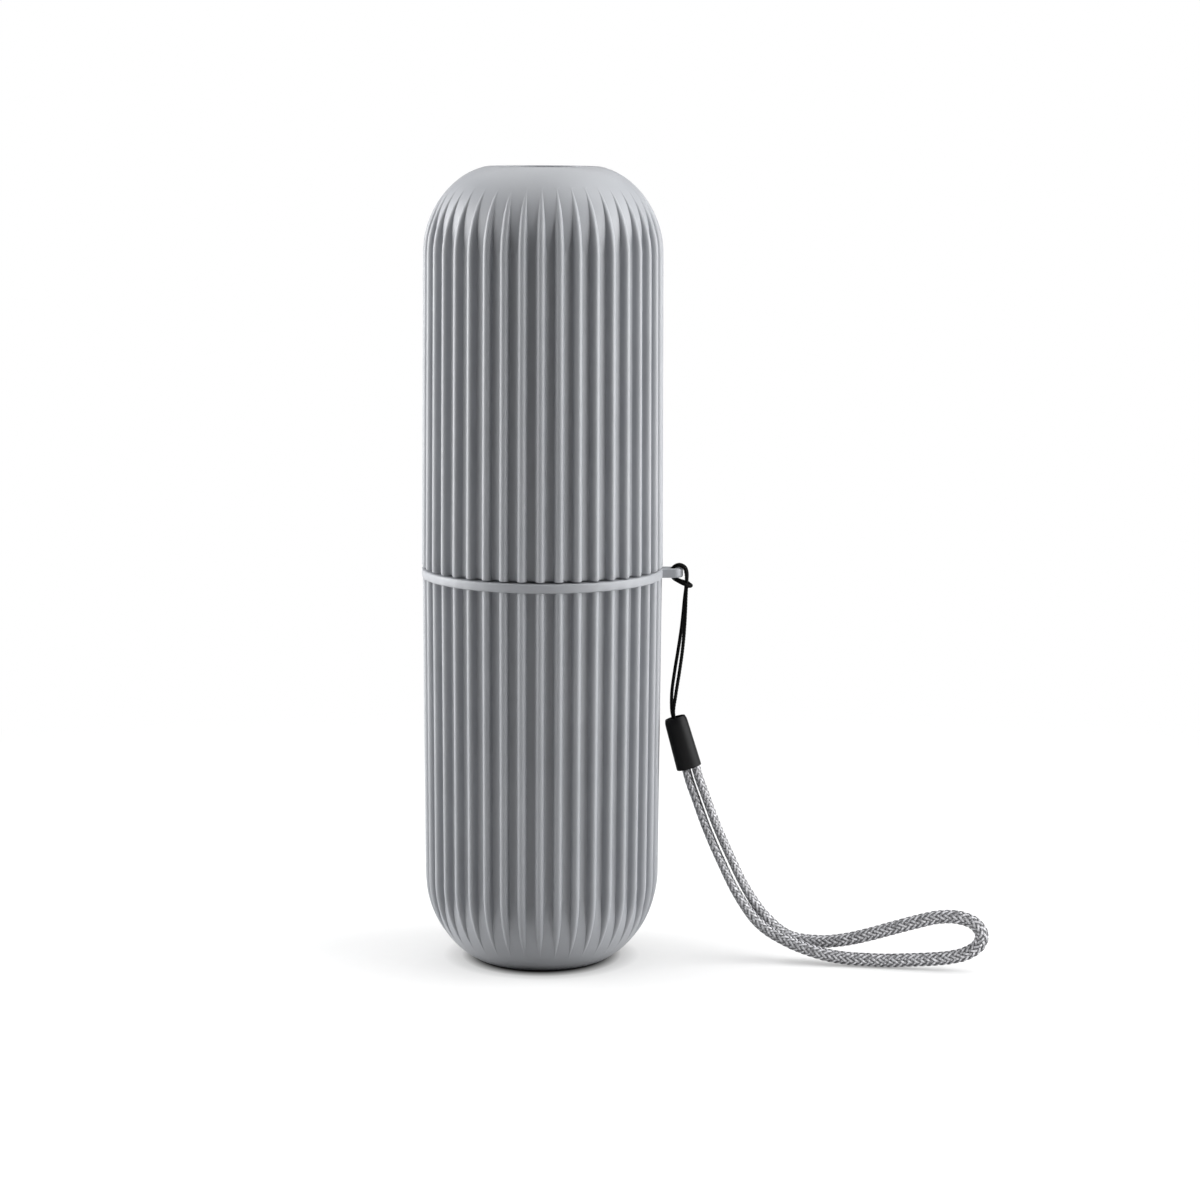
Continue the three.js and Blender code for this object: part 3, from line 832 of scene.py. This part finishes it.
def build_cup(sizes):
    """The cup: ribbed wall, flange, collar with its bead, and hollow, all one moulding"""
    half = cup_half(sizes)
    flange_top = sizes.mouth - sizes.collar_height
    flange_bottom = flange_top - sizes.flange_height
    soft = sizes.flange_round
    # Under the flange the ribs run into its rounded edge: these rows go from the rib to the edge
    rib = sizes.rib_height
    last = UNDER_FLANGE_ROWS - 1
    under = [Row(half.rim_floor, flange_bottom, (rib, 0.0), rib, i / last) for i in range(last + 1)]
    edge_radius = sizes.rim_radius - soft

    def fit(row, radius, height):
        """Carries a point from where its rib meets the flange along the flange's underside and round edge"""
        if row.under is None:
            return radius, height
        flat = max(0.0, edge_radius - radius)
        first = math.asin(max(0.0, radius - edge_radius) / soft)
        travel = row.under * (flat + soft * (QUARTER - first))
        if travel <= flat:
            return radius + travel, flange_bottom
        a = first + (travel - flat) / soft
        return edge_radius + soft * math.sin(a), flange_bottom + soft * (1 - math.cos(a))

    collar = cup_collar_radius(sizes)
    inner = half.rim_floor - sizes.wall
    lead = sizes.collar_round
    bead = flange_top + sizes.collar_height / 2
    bead_rows = []
    for i in range(-BEAD_ROWS, BEAD_ROWS + 1):
        swell = sizes.bead_height * (1 + math.cos(math.pi * i / BEAD_ROWS)) / 2
        bead_rows.append(Row(collar + swell, bead + sizes.bead_width / 2 * i / BEAD_ROWS))
    rows = closed_end_rows(sizes, half) + wall_rows(sizes, half, flange_bottom) + under
    rows += arc_rows(edge_radius, flange_top - soft, soft, 0.0, QUARTER, EDGE_ROUND)
    rows += arc_rows(collar + lead, flange_top + lead, lead, 3 * QUARTER, HALF_TURN, SMALL_ROUND)
    rows += bead_rows
    rows += arc_rows(collar - lead, sizes.mouth - lead, lead, 0.0, QUARTER, SMALL_ROUND)
    rows += arc_rows(inner + lead, sizes.mouth - lead, lead, QUARTER, HALF_TURN, SMALL_ROUND)
    rows += inside_rows(sizes, half, inner, sizes.mouth - 2 * lead)
    cup = sector("cup_moulding", sizes, rows, fit)
    cut_or_join(cup, build_lug(sizes, flange_top), "UNION")
    close_up(cup)
    return cup


def upright_cylinder(radius, depth, at, sides):
    """A plain cylinder that stands upright"""
    deselect()
    bpy.ops.mesh.primitive_cylinder_add(vertices=sides, radius=radius, depth=depth, location=at)
    made = bpy.context.object
    settle(made)
    return made


def build_lug(sizes, flange_top):
    """The flat lug with a round end, and the rounded hole through it"""
    end_radius = sizes.lug_hole + sizes.lug_bar
    hole_x = sizes.lug_tip - end_radius
    middle = (hole_x, 0, flange_top - sizes.flange_height / 2)
    lug = upright_cylinder(end_radius, sizes.flange_height, middle, LUG_SIDES)
    reach = hole_x - (sizes.rim_radius - sizes.wall)
    select_where(lug, "vertices", lambda corners: corners[0].x < hole_x - MERGE_DISTANCE)
    bpy.ops.transform.translate(value=(-reach, 0, 0))
    object_mode()
    drill = upright_cylinder(sizes.lug_hole, 2 * sizes.flange_height, middle, HOLE_SIDES)
    cut_or_join(lug, drill, "DIFFERENCE")

    def level(corners):
        return abs(corners[0].z - corners[1].z) < MERGE_DISTANCE

    def by_hole(co):
        return math.hypot(co.x - hole_x, co.y) < sizes.lug_hole + sizes.lug_bar / 2

    def hole_edge(corners):
        return level(corners) and all(map(by_hole, corners))

    def outer_edge(corners):
        return level(corners) and not any(map(by_hole, corners))

    round_edges(lug, hole_edge, sizes.hole_round, SMALL_ROUND)
    round_edges(lug, outer_edge, sizes.lug_round, SMALL_ROUND)
    close_up(lug)
    return lug


def build_lid(sizes):
    """The lid, worked out standing on its closed end and then turned over"""
    height = sizes.top - sizes.seam
    half = lid_half(sizes)
    soft = sizes.rim_round
    on_rim = (half.rim_floor - soft, height - soft, soft)
    rim = arc_rows(*on_rim, 0.0, QUARTER, EDGE_ROUND, rise=sizes.rib_height)
    collar = cup_collar_radius(sizes)
    skirt = collar + sizes.fit_gap
    seam_gap = sizes.seam - (sizes.mouth - sizes.collar_height)
    skirt_floor = height + seam_gap - sizes.collar_height - sizes.fit_gap
    lead = sizes.collar_round
    inner = half.rim_floor - sizes.wall
    rows = closed_end_rows(sizes, half) + wall_rows(sizes, half, height) + rim
    rows += arc_rows(skirt + lead / 2, height - lead / 2, lead / 2, QUARTER, HALF_TURN, SMALL_ROUND)
    rows += [Row(skirt, skirt_floor + lead)]
    rows += arc_rows(skirt - lead, skirt_floor + lead, lead, 0.0, -QUARTER, SMALL_ROUND)
    rows += arc_rows(inner + lead, skirt_floor - lead, lead, QUARTER, HALF_TURN, SMALL_ROUND)
    rows += inside_rows(sizes, half, inner, skirt_floor - 2 * lead)
    lid = sector("lid_moulding", sizes, rows)
    lid.rotation_euler.x = HALF_TURN
    lid.location.z = sizes.top
    settle(lid)
    close_up(lid)
    return lid


# Cords


def lanyard_matrix(sizes, lanyard):
    """From the lanyard's upright plane, x out from the lug's hole and z up from the floor, to the frame"""
    hole_x = sizes.lug_tip - sizes.lug_hole - sizes.lug_bar
    return Matrix.Translation((hole_x, 0, 0)) @ Matrix.Rotation(lanyard.turn, 4, "Z")


def sleeve_line(lanyard):
    """Top of the sleeve and the way down its axis, in the lanyard's plane"""
    down = Vector((math.sin(lanyard.sleeve_tilt), 0, -math.cos(lanyard.sleeve_tilt)))
    return Vector(lanyard.sleeve_top), down


def unit(vectors):
    """Each vector at a length of 1"""
    return vectors / np.linalg.norm(vectors, axis=1)[:, None]


def distance_along(line):
    """How far each point of a line is from its start"""
    return np.concatenate([[0.0], np.cumsum(np.linalg.norm(np.diff(line, axis=0), axis=1))])


def smooth_route(points, spacing):
    """Even points along one smooth curve through the route's points, eased by their distance apart"""
    knots = np.array([tuple(p) for p in points])
    knots = np.vstack([2 * knots[0] - knots[1], knots, 2 * knots[-1] - knots[-2]])
    fine = []
    for p0, p1, p2, p3 in zip(knots, knots[1:], knots[2:], knots[3:]):
        t0 = 0.0
        t1 = t0 + math.sqrt(np.linalg.norm(p1 - p0))
        t2 = t1 + math.sqrt(np.linalg.norm(p2 - p1))
        t3 = t2 + math.sqrt(np.linalg.norm(p3 - p2))
        t = np.linspace(t1, t2, ROUTE_STEPS + 1)[:-1, None]
        a1 = (t1 - t) / (t1 - t0) * p0 + (t - t0) / (t1 - t0) * p1
        a2 = (t2 - t) / (t2 - t1) * p1 + (t - t1) / (t2 - t1) * p2
        a3 = (t3 - t) / (t3 - t2) * p2 + (t - t2) / (t3 - t2) * p3
        b1 = (t2 - t) / (t2 - t0) * a1 + (t - t0) / (t2 - t0) * a2
        b2 = (t3 - t) / (t3 - t1) * a2 + (t - t1) / (t3 - t1) * a3
        fine.append((t2 - t) / (t2 - t1) * b1 + (t - t1) / (t2 - t1) * b2)
    fine = np.vstack([*fine, knots[-2:-1]])
    along = distance_along(fine)
    even = np.linspace(0.0, along[-1], max(2, round(along[-1] / spacing)) + 1)
    return np.column_stack([np.interp(even, along, fine[:, k]) for k in range(3)]), even


def cross_directions(path):
    """Two directions across the path at each point, carried along it without twist"""
    forward = unit(np.gradient(path, axis=0))
    across = np.zeros_like(path)
    across[0] = np.cross(forward[0], (0.0, 1.0, 0.0))
    across[0] /= np.linalg.norm(across[0])
    for i in range(1, len(path)):
        carried = across[i - 1] - np.dot(across[i - 1], forward[i]) * forward[i]
        across[i] = carried / np.linalg.norm(carried)
    return across, np.cross(forward, across)


def yarn_mesh(name, yarns):
    """One mesh of closed yarns, each given by its middle line, the way out, its width and its thickness. Each
    has a strip of the map to itself: millimetres along it, and once round it."""
    sides = YARN_SIDES
    places = []
    faces = []
    along_uv = []
    for number, (line, out, width, thickness) in enumerate(yarns):
        first = len(places)
        forward = unit(np.gradient(line, axis=0))
        beside = unit(np.cross(forward, out))
        upright = np.cross(beside, forward)
        run = distance_along(line) * MILLIMETRES
        turns = FULL_TURN * np.arange(sides) / sides
        rings = (
            line[:, None, :]
            + (np.cos(turns) * width / 2)[None, :, None] * beside[:, None, :]
            + (np.sin(turns) * thickness / 2)[None, :, None] * upright[:, None, :]
        )
        places += [tuple(p) for p in rings.reshape(-1, 3)]
        rows = len(line)
        for i in range(rows - 1):
            for j in range(sides):
                k = (j + 1) % sides
                low = first + i * sides
                high = low + sides
                faces.append((low + j, high + j, high + k, low + k))
                v = (2 * number + j / sides, 2 * number + (j + 1) / sides)
                along_uv += [(run[i], v[0]), (run[i + 1], v[0]), (run[i + 1], v[1]), (run[i], v[1])]
        for row, order in ((0, 1), (rows - 1, -1)):
            ring = [first + row * sides + j for j in range(sides)]
            faces.append(tuple(ring[::order]))
            along_uv += [(run[row], 2 * number + 0.5)] * sides
    mesh = bpy.data.meshes.new(name)
    mesh.from_pydata(places, [], faces)
    mesh.uv_layers.new(name="along_yarn").data.foreach_set("uv", np.ravel(along_uv))
    piece = bpy.data.objects.new(name, mesh)
    bpy.context.scene.collection.objects.link(piece)
    close_up(piece)
    smooth(piece, YARN_SHARP)
    return piece


def wrist_route(lanyard, matrix):
    """The wrist cord: down from the sleeve, its strands side by side and then one behind the other, and round
    the loop, whose lower strand lies on the floor"""
    top, axis = sleeve_line(lanyard)
    close = (lanyard.wrist_diameter * lanyard.pair_flat + lanyard.pair_gap) / 2
    spread = (lanyard.wrist_diameter + lanyard.touch_gap) / 2
    mouth = top + axis * lanyard.sleeve_length + Vector((-axis.z, 0, axis.x)) * lanyard.pair_lean
    reaches = (-lanyard.wrist_inside, lanyard.touch_gap, lanyard.wrist_diameter)
    by_sleeve = [mouth + axis * reach for reach in reaches]
    line = np.array([(p.x, p.z) for p in by_sleeve] + list(WRIST_DROP))
    forward = unit(np.gradient(line, axis=0))
    down = np.linspace(0.0, 1.0, len(line)) ** PAIR_TURN_EASE
    turn = lanyard.pair_turn + down * (lanyard.pair_turn_low - lanyard.pair_turn)
    apart = close + down * (spread - close)
    aside = apart * np.cos(turn)
    behind = apart * np.sin(turn)

    def strand(side):
        places = line + side * aside[:, None] * np.column_stack([-forward[:, 1], forward[:, 0]])
        return [Vector((x, side * y, z)) for (x, z), y in zip(places, behind)]

    across = np.linspace(-spread, spread, len(WRIST_LOOP))
    lift = lanyard.wrist_diameter / 2 * lanyard.loop_swell
    laid = [Vector((x, y, z + lift)) for (x, z), y in zip(WRIST_LOOP, across)]
    return [matrix @ p for p in strand(-1) + laid + strand(1)[::-1]]


def loop_route(sizes, lanyard, matrix):
    """The thin cord: up from the sleeve, over the lug's bar, down through its hole and round both strands"""
    top, axis = sleeve_line(lanyard)
    turn_out = sizes.lug_hole + sizes.lug_bar / 2 - lanyard.hitch_inset
    turn_up = sizes.mouth - sizes.collar_height - sizes.flange_height / 2
    turn = sizes.flange_height / 2 + lanyard.hitch_clearance + lanyard.loop_diameter / 2
    across = lanyard.loop_diameter + lanyard.strand_gap
    offset = across / 2
    drop = lanyard.bight_drop
    bight_out = turn_out + turn + across
    bight_up = turn_up - turn - drop

    def side(s):
        in_bore = top + axis * (lanyard.sleeve_bore_depth - lanyard.touch_gap)
        end_bow = s * lanyard.end_bow
        lean = lanyard.strand_lean + end_bow
        points = [(in_bore.x - lean, offset, in_bore.z), (top.x - lean, offset, top.z)]
        bow = s * lanyard.strand_bow
        points += [(x - share * bow, offset, top.z + rise) for x, rise, share in STRAND_HANG]
        below_hitch = turn_up - BELOW_HITCH * sizes.flange_height
        points.append((turn_out + turn - lanyard.touch_gap - end_bow, offset, below_hitch))
        for eighth in range(6):
            a = eighth * math.pi / 4
            points.append((turn_out + turn * math.cos(a), offset, turn_up + turn * math.sin(a)))
        points.append((turn_out, offset + across / 4, bight_up + drop * 5 / 6))
        points.append((turn_out + turn, offset + across, bight_up + drop / 3))
        points.append((bight_out - across / 4, offset + across / 2, bight_up))
        return [Vector((x, s * y, z)) for x, y, z in points]

    bight = Vector((bight_out, 0, bight_up))
    return [matrix @ p for p in side(-1) + [bight] + side(1)[::-1]]


def pressed(offsets, way, share):
    """Offsets from a cord's middle, pressed in one way and swollen a little in the others"""
    along_way = np.sum(offsets * way, axis=1)[:, None] * way
    swell = 1 + PRESS_SWELL * (1 - share)[:, None]
    return share[:, None] * along_way + swell * (offsets - along_way)


def braid(name, path, along, diameter, lay, yarns_each_way, width, thick, press):
    """A round braid on a core: flat yarns wound both ways, each over two and under two of the others"""
    across, up = cross_directions(path)
    middle = diameter / 2 - thick
    yarns = []
    for way in (1, -1):
        for k in range(yarns_each_way):
            turn = FULL_TURN * (way * along / lay + k / yarns_each_way)
            over = np.cos(yarns_each_way / 2 * turn - QUARTER / 2)
            weave = np.tanh(WEAVE_DIP * over) / np.tanh(WEAVE_DIP)
            out = np.cos(turn)[:, None] * across + np.sin(turn)[:, None] * up
            line = path + press((middle + way * thick / 2 * weave)[:, None] * out)
            yarns.append((line, out, width, thick))
    core = diameter * CORE_SHARE - CORE_INSET * thick
    yarns.append((path, across, core, core))
    return yarn_mesh(name, yarns)


def build_wrist_cord(sizes, lanyard):
    """The wrist cord, its strands pressed flatter where they lie together below the sleeve"""
    matrix = lanyard_matrix(sizes, lanyard)
    path, along = smooth_route(wrist_route(lanyard, matrix), lanyard.wrist_lay / WRIST_ROWS)
    from_sleeve = np.minimum(along, along[-1] - along)
    marks = (lanyard.pair_length, lanyard.pair_end, lanyard.swell_start)
    share = np.interp(from_sleeve, marks, (lanyard.pair_flat, 1.0, lanyard.loop_swell))
    way = unit(np.cross(np.gradient(path, axis=0), matrix.col[1].to_3d()))
    piece = braid(
        "wrist_braid",
        path,
        along,
        lanyard.wrist_diameter,
        lanyard.wrist_lay,
        lanyard.wrist_yarns,
        lanyard.yarn_width,
        lanyard.yarn_thickness,
        lambda offsets: pressed(offsets, way, share),
    )
    return piece, path


def build_loop_cord(sizes, lanyard):
    """The thin cord, a finer and tighter braid"""
    route = loop_route(sizes, lanyard, lanyard_matrix(sizes, lanyard))
    path, along = smooth_route(route, lanyard.loop_lay / LOOP_ROWS)
    piece = braid(
        "loop_braid",
        path,
        along,
        lanyard.loop_diameter,
        lanyard.loop_lay,
        lanyard.loop_yarns,
        lanyard.loop_yarn_width,
        lanyard.loop_yarn_thickness,
        lambda offsets: offsets,
    )
    return piece, path


def build_sleeve(sizes, lanyard):
    """The moulded sleeve: rounded above round its bore, recessed below round the wrist cord"""
    deselect()
    top_radius = lanyard.sleeve_radius - lanyard.sleeve_flare
    low = -lanyard.sleeve_length
    high = -lanyard.sleeve_round * (lanyard.sleeve_dome - 1)
    bpy.ops.mesh.primitive_cone_add(
        vertices=SLEEVE_SIDES,
        radius1=lanyard.sleeve_radius,
        radius2=top_radius,
        depth=high - low,
        location=(0, 0, (high + low) / 2),
    )
    sleeve = bpy.context.object
    sleeve.name = SLEEVE_NAME
    settle(sleeve)

    def above(corners):
        return all(co.z > high - MERGE_DISTANCE for co in corners)

    def below(corners):
        return all(co.z < low + MERGE_DISTANCE for co in corners)

    round_edges(sleeve, above, lanyard.sleeve_round, SLEEVE_DOME_STEPS)
    shoulder = high - lanyard.sleeve_round
    select_where(sleeve, "vertices", lambda corners: corners[0].z > shoulder)
    bpy.ops.transform.resize(value=(1, 1, lanyard.sleeve_dome), center_override=(0, 0, shoulder))
    object_mode()
    round_edges(sleeve, below, lanyard.sleeve_edge, SMALL_ROUND)
    flat = top_radius - lanyard.sleeve_round
    sink(sleeve, above, flat - lanyard.sleeve_bore, -lanyard.sleeve_bore_depth, lanyard.sleeve_lip)
    sink(sleeve, below, lanyard.socket_rim, lanyard.socket_depth, lanyard.sleeve_lip)
    place_top = Matrix.Translation(lanyard.sleeve_top)
    lean = Matrix.Rotation(-lanyard.sleeve_tilt, 4, "Y")
    sleeve.matrix_world = lanyard_matrix(sizes, lanyard) @ place_top @ lean
    settle(sleeve)
    close_up(sleeve)
    smooth(sleeve, SLEEVE_SHARP)
    return sleeve


def sink(piece, on_end, rim, depth, lip):
    """A round recess in an end, inside a rim, with a softened lip"""
    select_where(piece, "polygons", on_end)
    bpy.ops.mesh.inset(thickness=rim, depth=0)
    bpy.ops.mesh.inset(thickness=lip, depth=-lip)
    bpy.ops.mesh.extrude_region_move(TRANSFORM_OT_translate={"value": (0, 0, depth)})
    object_mode()


# Stage


def build_camera(scene, stage):
    """The camera that was solved from the photo's outlines"""
    deselect()
    aim = Matrix.Rotation(QUARTER - stage.pitch, 3, "X") @ Matrix.Rotation(stage.roll, 3, "Z")
    bpy.ops.object.camera_add(location=stage.camera, rotation=aim.to_euler())
    camera = bpy.context.object
    camera.data.lens = stage.lens
    camera.data.clip_start = stage.clip_start
    scene.camera = camera
    scene.view_settings.view_transform = "Standard"


def seen_directly(tree):
    """1 for what the camera, a reflection or glass shows"""
    light_path = add_node(tree, "ShaderNodeLightPath")
    rays = [light_path.outputs[f"Is {kind} Ray"] for kind in ("Camera", "Glossy", "Transmission")]
    return arithmetic(tree, "MAXIMUM", *rays)


def show_either(tree, factor, first, second, end):
    """What the nodes show: the first shader, or the second where the factor is 1"""
    link = tree.links.new
    mixed = add_node(tree, "ShaderNodeMixShader")
    link(factor, mixed.inputs["Fac"])
    link(first, mixed.inputs[1])
    link(second, mixed.inputs[2])
    link(mixed.outputs["Shader"], tree.nodes[end].inputs["Surface"])


def oval_distance(tree, position, shift, shape):
    """Distance over the floor from a point, the same all round an oval"""
    oval = add_node(tree, "ShaderNodeMapping", inputs={"Location": shift, "Scale": shape})
    tree.links.new(position, oval.inputs["Vector"])
    distance = add_node(tree, "ShaderNodeVectorMath", {"operation": "LENGTH"})
    tree.links.new(oval.outputs["Vector"], distance.inputs[0])
    return distance.outputs["Value"]


def build_floor(stage):
    """A pale floor that takes the shadow, with a shadow painted round the foot and shade painted under what
    lies on it, and fades to plain white away from the case"""
    deselect()
    bpy.ops.mesh.primitive_circle_add(
        vertices=FLOOR_SIDES, radius=stage.floor_radius, fill_type="NGON", location=(0, 0, -stage.floor_drop)
    )
    floor = bpy.context.object
    floor.name = "floor"
    settle(floor)
    material, tree, shader = new_material("pale_floor")
    link = tree.links.new
    shader.inputs["Roughness"].default_value = FLOOR_ROUGHNESS
    shader.inputs["Specular IOR Level"].default_value = 0.0
    shader.inputs["Emission Color"].default_value = WHITE
    position = add_node(tree, "ShaderNodeTexCoord").outputs["Object"]
    grain = add_node(tree, "ShaderNodeTexNoise", inputs={"Scale": FLOOR_GRAIN, "Detail": 3.0})
    link(position, grain.inputs["Vector"])
    tone = mix_colours(tree, grain.outputs["Fac"], stage.floor_tone, stage.floor_pale)
    # Painted shadow round the foot, in the floor's colour and in its glow
    from_foot = oval_distance(tree, position, (0, 0, 0), PAINTED_SHADOW_SHAPE)
    near = stretch_between(tree, from_foot, stage.painted_shadow_start, stage.painted_shadow_end, 0.0, PAINTED_SHADOW_SHARE)
    far = stretch_between(tree, from_foot, stage.painted_shadow_end, stage.painted_shadow_far, 0.0, 1 - PAINTED_SHADOW_SHARE)
    outside_painted_shadow = arithmetic(tree, "ADD", near, far)
    link(mix_colours(tree, outside_painted_shadow, stage.painted_foot_shadow, tone), shader.inputs["Base Color"])
    # Painted shade under what lies on the floor: its glow is dimmed by occlusion
    reach = {"Distance": stage.painted_shade_reach}
    cover = add_node(tree, "ShaderNodeAmbientOcclusion", {"samples": COVER_SAMPLES}, reach)
    glow_after_painted_shade = stretch_between(tree, cover.outputs["AO"], 0.0, 1.0, PAINTED_SHADE_GLOW, 1.0)
    seen = seen_directly(tree)
    glow = arithmetic(tree, "MULTIPLY", outside_painted_shadow, stage.floor_glow, seen, glow_after_painted_shade)
    link(glow, shader.inputs["Emission Strength"])
    from_case = oval_distance(tree, position, SURROUND_SHIFT, SURROUND_SHAPE)
    fade = stretch_between(tree, from_case, stage.fade_start, stage.fade_end, shape="SMOOTHSTEP")
    white = add_node(tree, "ShaderNodeEmission", inputs={"Strength": 1.0})
    share = arithmetic(tree, "MULTIPLY", fade, seen)
    show_either(tree, share, shader.outputs["BSDF"], white.outputs["Emission"], "Material Output")
    floor.data.materials.append(material)


def add_lamp(name, at, towards, width, height, power, spread=HALF_TURN):
    """A soft lamp that the camera doesn't see"""
    deselect()
    bpy.ops.object.light_add(type="AREA", location=at)
    lamp = bpy.context.object
    lamp.name = name
    lamp.rotation_euler = (Vector(towards) - Vector(at)).to_track_quat("-Z", "Y").to_euler()
    lamp.data.shape = "RECTANGLE"
    lamp.data.size = width
    lamp.data.size_y = height
    lamp.data.energy = power
    lamp.data.spread = spread
    lamp.visible_camera = False


def build_lamps(stage):
    """A curved soft box at each side, built up of upright strips, softer light from above, from the upper
    right and from above the back, and a small low lamp for the lanyard's loop"""
    for turn, power in STRIPS:
        a = math.radians(turn)
        at = (stage.strip_distance * math.sin(a), -stage.strip_distance * math.cos(a), stage.strip_height)
        add_lamp(f"strip_{turn}", at, CASE_MIDDLE, stage.strip_width, stage.strip_length, power)
    add_lamp("top_softbox", *TOP_SOFTBOX, stage.top_lamp)
    add_lamp("right_softbox", *RIGHT_SOFTBOX, stage.upper_right_lamp)
    add_lamp("back_softbox", *BACK_SOFTBOX, stage.back_lamp)
    add_lamp("loop_lamp", *LOOP_LAMP, stage.loop_lamp, stage.loop_lamp_spread)


def build_world(scene, stage):
    """White where it is seen, paler behind the case than in front of it, and a low even light on the case"""
    world = bpy.data.worlds.new("surroundings")
    world.use_nodes = True
    scene.world = world
    tree = world.node_tree
    link = tree.links.new
    low = tree.nodes["Background"]
    low.inputs["Color"].default_value = AMBIENT_TINT
    low.inputs["Strength"].default_value = stage.ambient
    coordinates = add_node(tree, "ShaderNodeTexCoord")
    axes = add_node(tree, "ShaderNodeSeparateXYZ")
    link(coordinates.outputs["Generated"], axes.inputs["Vector"])
    behind = stretch_between(tree, axes.outputs["Y"], *FRONT_TO_BACK, stage.front_level, stage.behind_level)
    light_path = add_node(tree, "ShaderNodeLightPath")
    white = add_node(tree, "ShaderNodeBackground", inputs={"Color": WHITE})
    link(arithmetic(tree, "MAXIMUM", light_path.outputs["Is Camera Ray"], behind), white.inputs["Strength"])
    shaders = (low.outputs["Background"], white.outputs["Background"])
    show_either(tree, seen_directly(tree), *shaders, "World Output")


# Operators


def settings(context):
    """Sizes of the case and of its lanyard, and colours of the finishes"""
    scene = context.scene
    return scene.travel_case_sizes, scene.travel_case_lanyard, scene.travel_case_finish


class CASE_OT_stage(bpy.types.Operator):
    """Camera, floor, soft lamps and pale surroundings"""

    bl_idname = "travel_case.stage"
    bl_label = "Stage"

    def execute(self, context):
        stage = context.scene.travel_case_stage
        build_camera(context.scene, stage)
        build_floor(stage)
        build_lamps(stage)
        build_world(context.scene, stage)
        return {"FINISHED"}


class CASE_OT_wrist_cord(bpy.types.Operator):
    """Silver-grey braided wrist cord"""

    bl_idname = "travel_case.wrist_cord"
    bl_label = "Wrist Cord"

    def execute(self, context):
        sizes, lanyard, finish = settings(context)
        piece, path = build_wrist_cord(sizes, lanyard)
        material = yarn_material("silver_braid", finish.yarn, finish.yarn_light, **WRIST_GLOSS)
        dress(piece, material, "lanyard_body", "wrist_braid", "wrist_cord")
        return {"FINISHED"}


class CASE_OT_loop_cord(bpy.types.Operator):
    """Thin black cord hitched to the lug"""

    bl_idname = "travel_case.loop_cord"
    bl_label = "Loop Cord"

    def execute(self, context):
        sizes, lanyard, finish = settings(context)
        piece, path = build_loop_cord(sizes, lanyard)
        material = yarn_material("black_braid", finish.loop, finish.loop_light, **LOOP_GLOSS)
        dress(piece, material, "lanyard_body", "loop_cord", "loop_cord")
        return {"FINISHED"}


class CASE_OT_sleeve(bpy.types.Operator):
    """Black moulded sleeve between the cords"""

    bl_idname = "travel_case.sleeve"
    bl_label = "Sleeve"

    def execute(self, context):
        sizes, lanyard, finish = settings(context)
        sleeve = build_sleeve(sizes, lanyard)
        material = moulded_material("black_sleeve", finish.sleeve, finish.sleeve_light, **SLEEVE_GLOSS)
        dress(sleeve, material, "lanyard_body", "sleeve_plastic", "cord_sleeve")
        return {"FINISHED"}


class CASE_OT_cup(bpy.types.Operator):
    """Ribbed cup with its flange, lug and collar"""

    bl_idname = "travel_case.cup"
    bl_label = "Cup"

    def execute(self, context):
        sizes, _, finish = settings(context)
        cup = build_cup(sizes)
        smooth(cup, MOULDING_SHARP)
        dress(cup, case_plastic(finish), "cup_body", "case_plastic", "cup")
        return {"FINISHED"}


class CASE_OT_lid(bpy.types.Operator):
    """Ribbed lid that pushes over the collar"""

    bl_idname = "travel_case.lid"
    bl_label = "Lid"

    def execute(self, context):
        sizes, _, finish = settings(context)
        lid = build_lid(sizes)
        smooth(lid, MOULDING_SHARP)
        dress(lid, case_plastic(finish), "lid_body", "case_plastic", "lid")
        return {"FINISHED"}


OPERATORS = (CASE_OT_stage, CASE_OT_sleeve, CASE_OT_wrist_cord, CASE_OT_loop_cord, CASE_OT_cup, CASE_OT_lid)


class CASE_PT_panel(bpy.types.Panel):
    """Lists the pieces of the case"""

    bl_idname = "CASE_PT_panel"
    bl_label = "Travel Case"
    bl_space_type = "VIEW_3D"
    bl_region_type = "UI"
    bl_category = "Travel Case"

    def draw(self, context):
        for operator in OPERATORS:
            self.layout.operator(operator.bl_idname)


PROPERTIES = {
    "travel_case_sizes": CaseSizes,
    "travel_case_lanyard": LanyardSizes,
    "travel_case_finish": FinishColours,
    "travel_case_stage": StageSizes,
}


def register():
    """Adds the settings, the operators and the panel"""
    for group in PROPERTIES.values():
        bpy.utils.register_class(group)
    for name, group in PROPERTIES.items():
        setattr(bpy.types.Scene, name, PointerProperty(type=group))
    for operator in OPERATORS:
        bpy.utils.register_class(operator)
    bpy.utils.register_class(CASE_PT_panel)


def unregister():
    """Takes them away again"""
    bpy.utils.unregister_class(CASE_PT_panel)
    for operator in reversed(OPERATORS):
        bpy.utils.unregister_class(operator)
    for name in PROPERTIES:
        delattr(bpy.types.Scene, name)
    for group in reversed(PROPERTIES.values()):
        bpy.utils.unregister_class(group)


def main():
    """Builds the whole case"""
    register()
    bpy.ops.travel_case.stage()
    bpy.ops.travel_case.sleeve()
    bpy.ops.travel_case.wrist_cord()
    bpy.ops.travel_case.loop_cord()
    bpy.ops.travel_case.cup()
    bpy.ops.travel_case.lid()


if __name__ == "__main__":
    main()
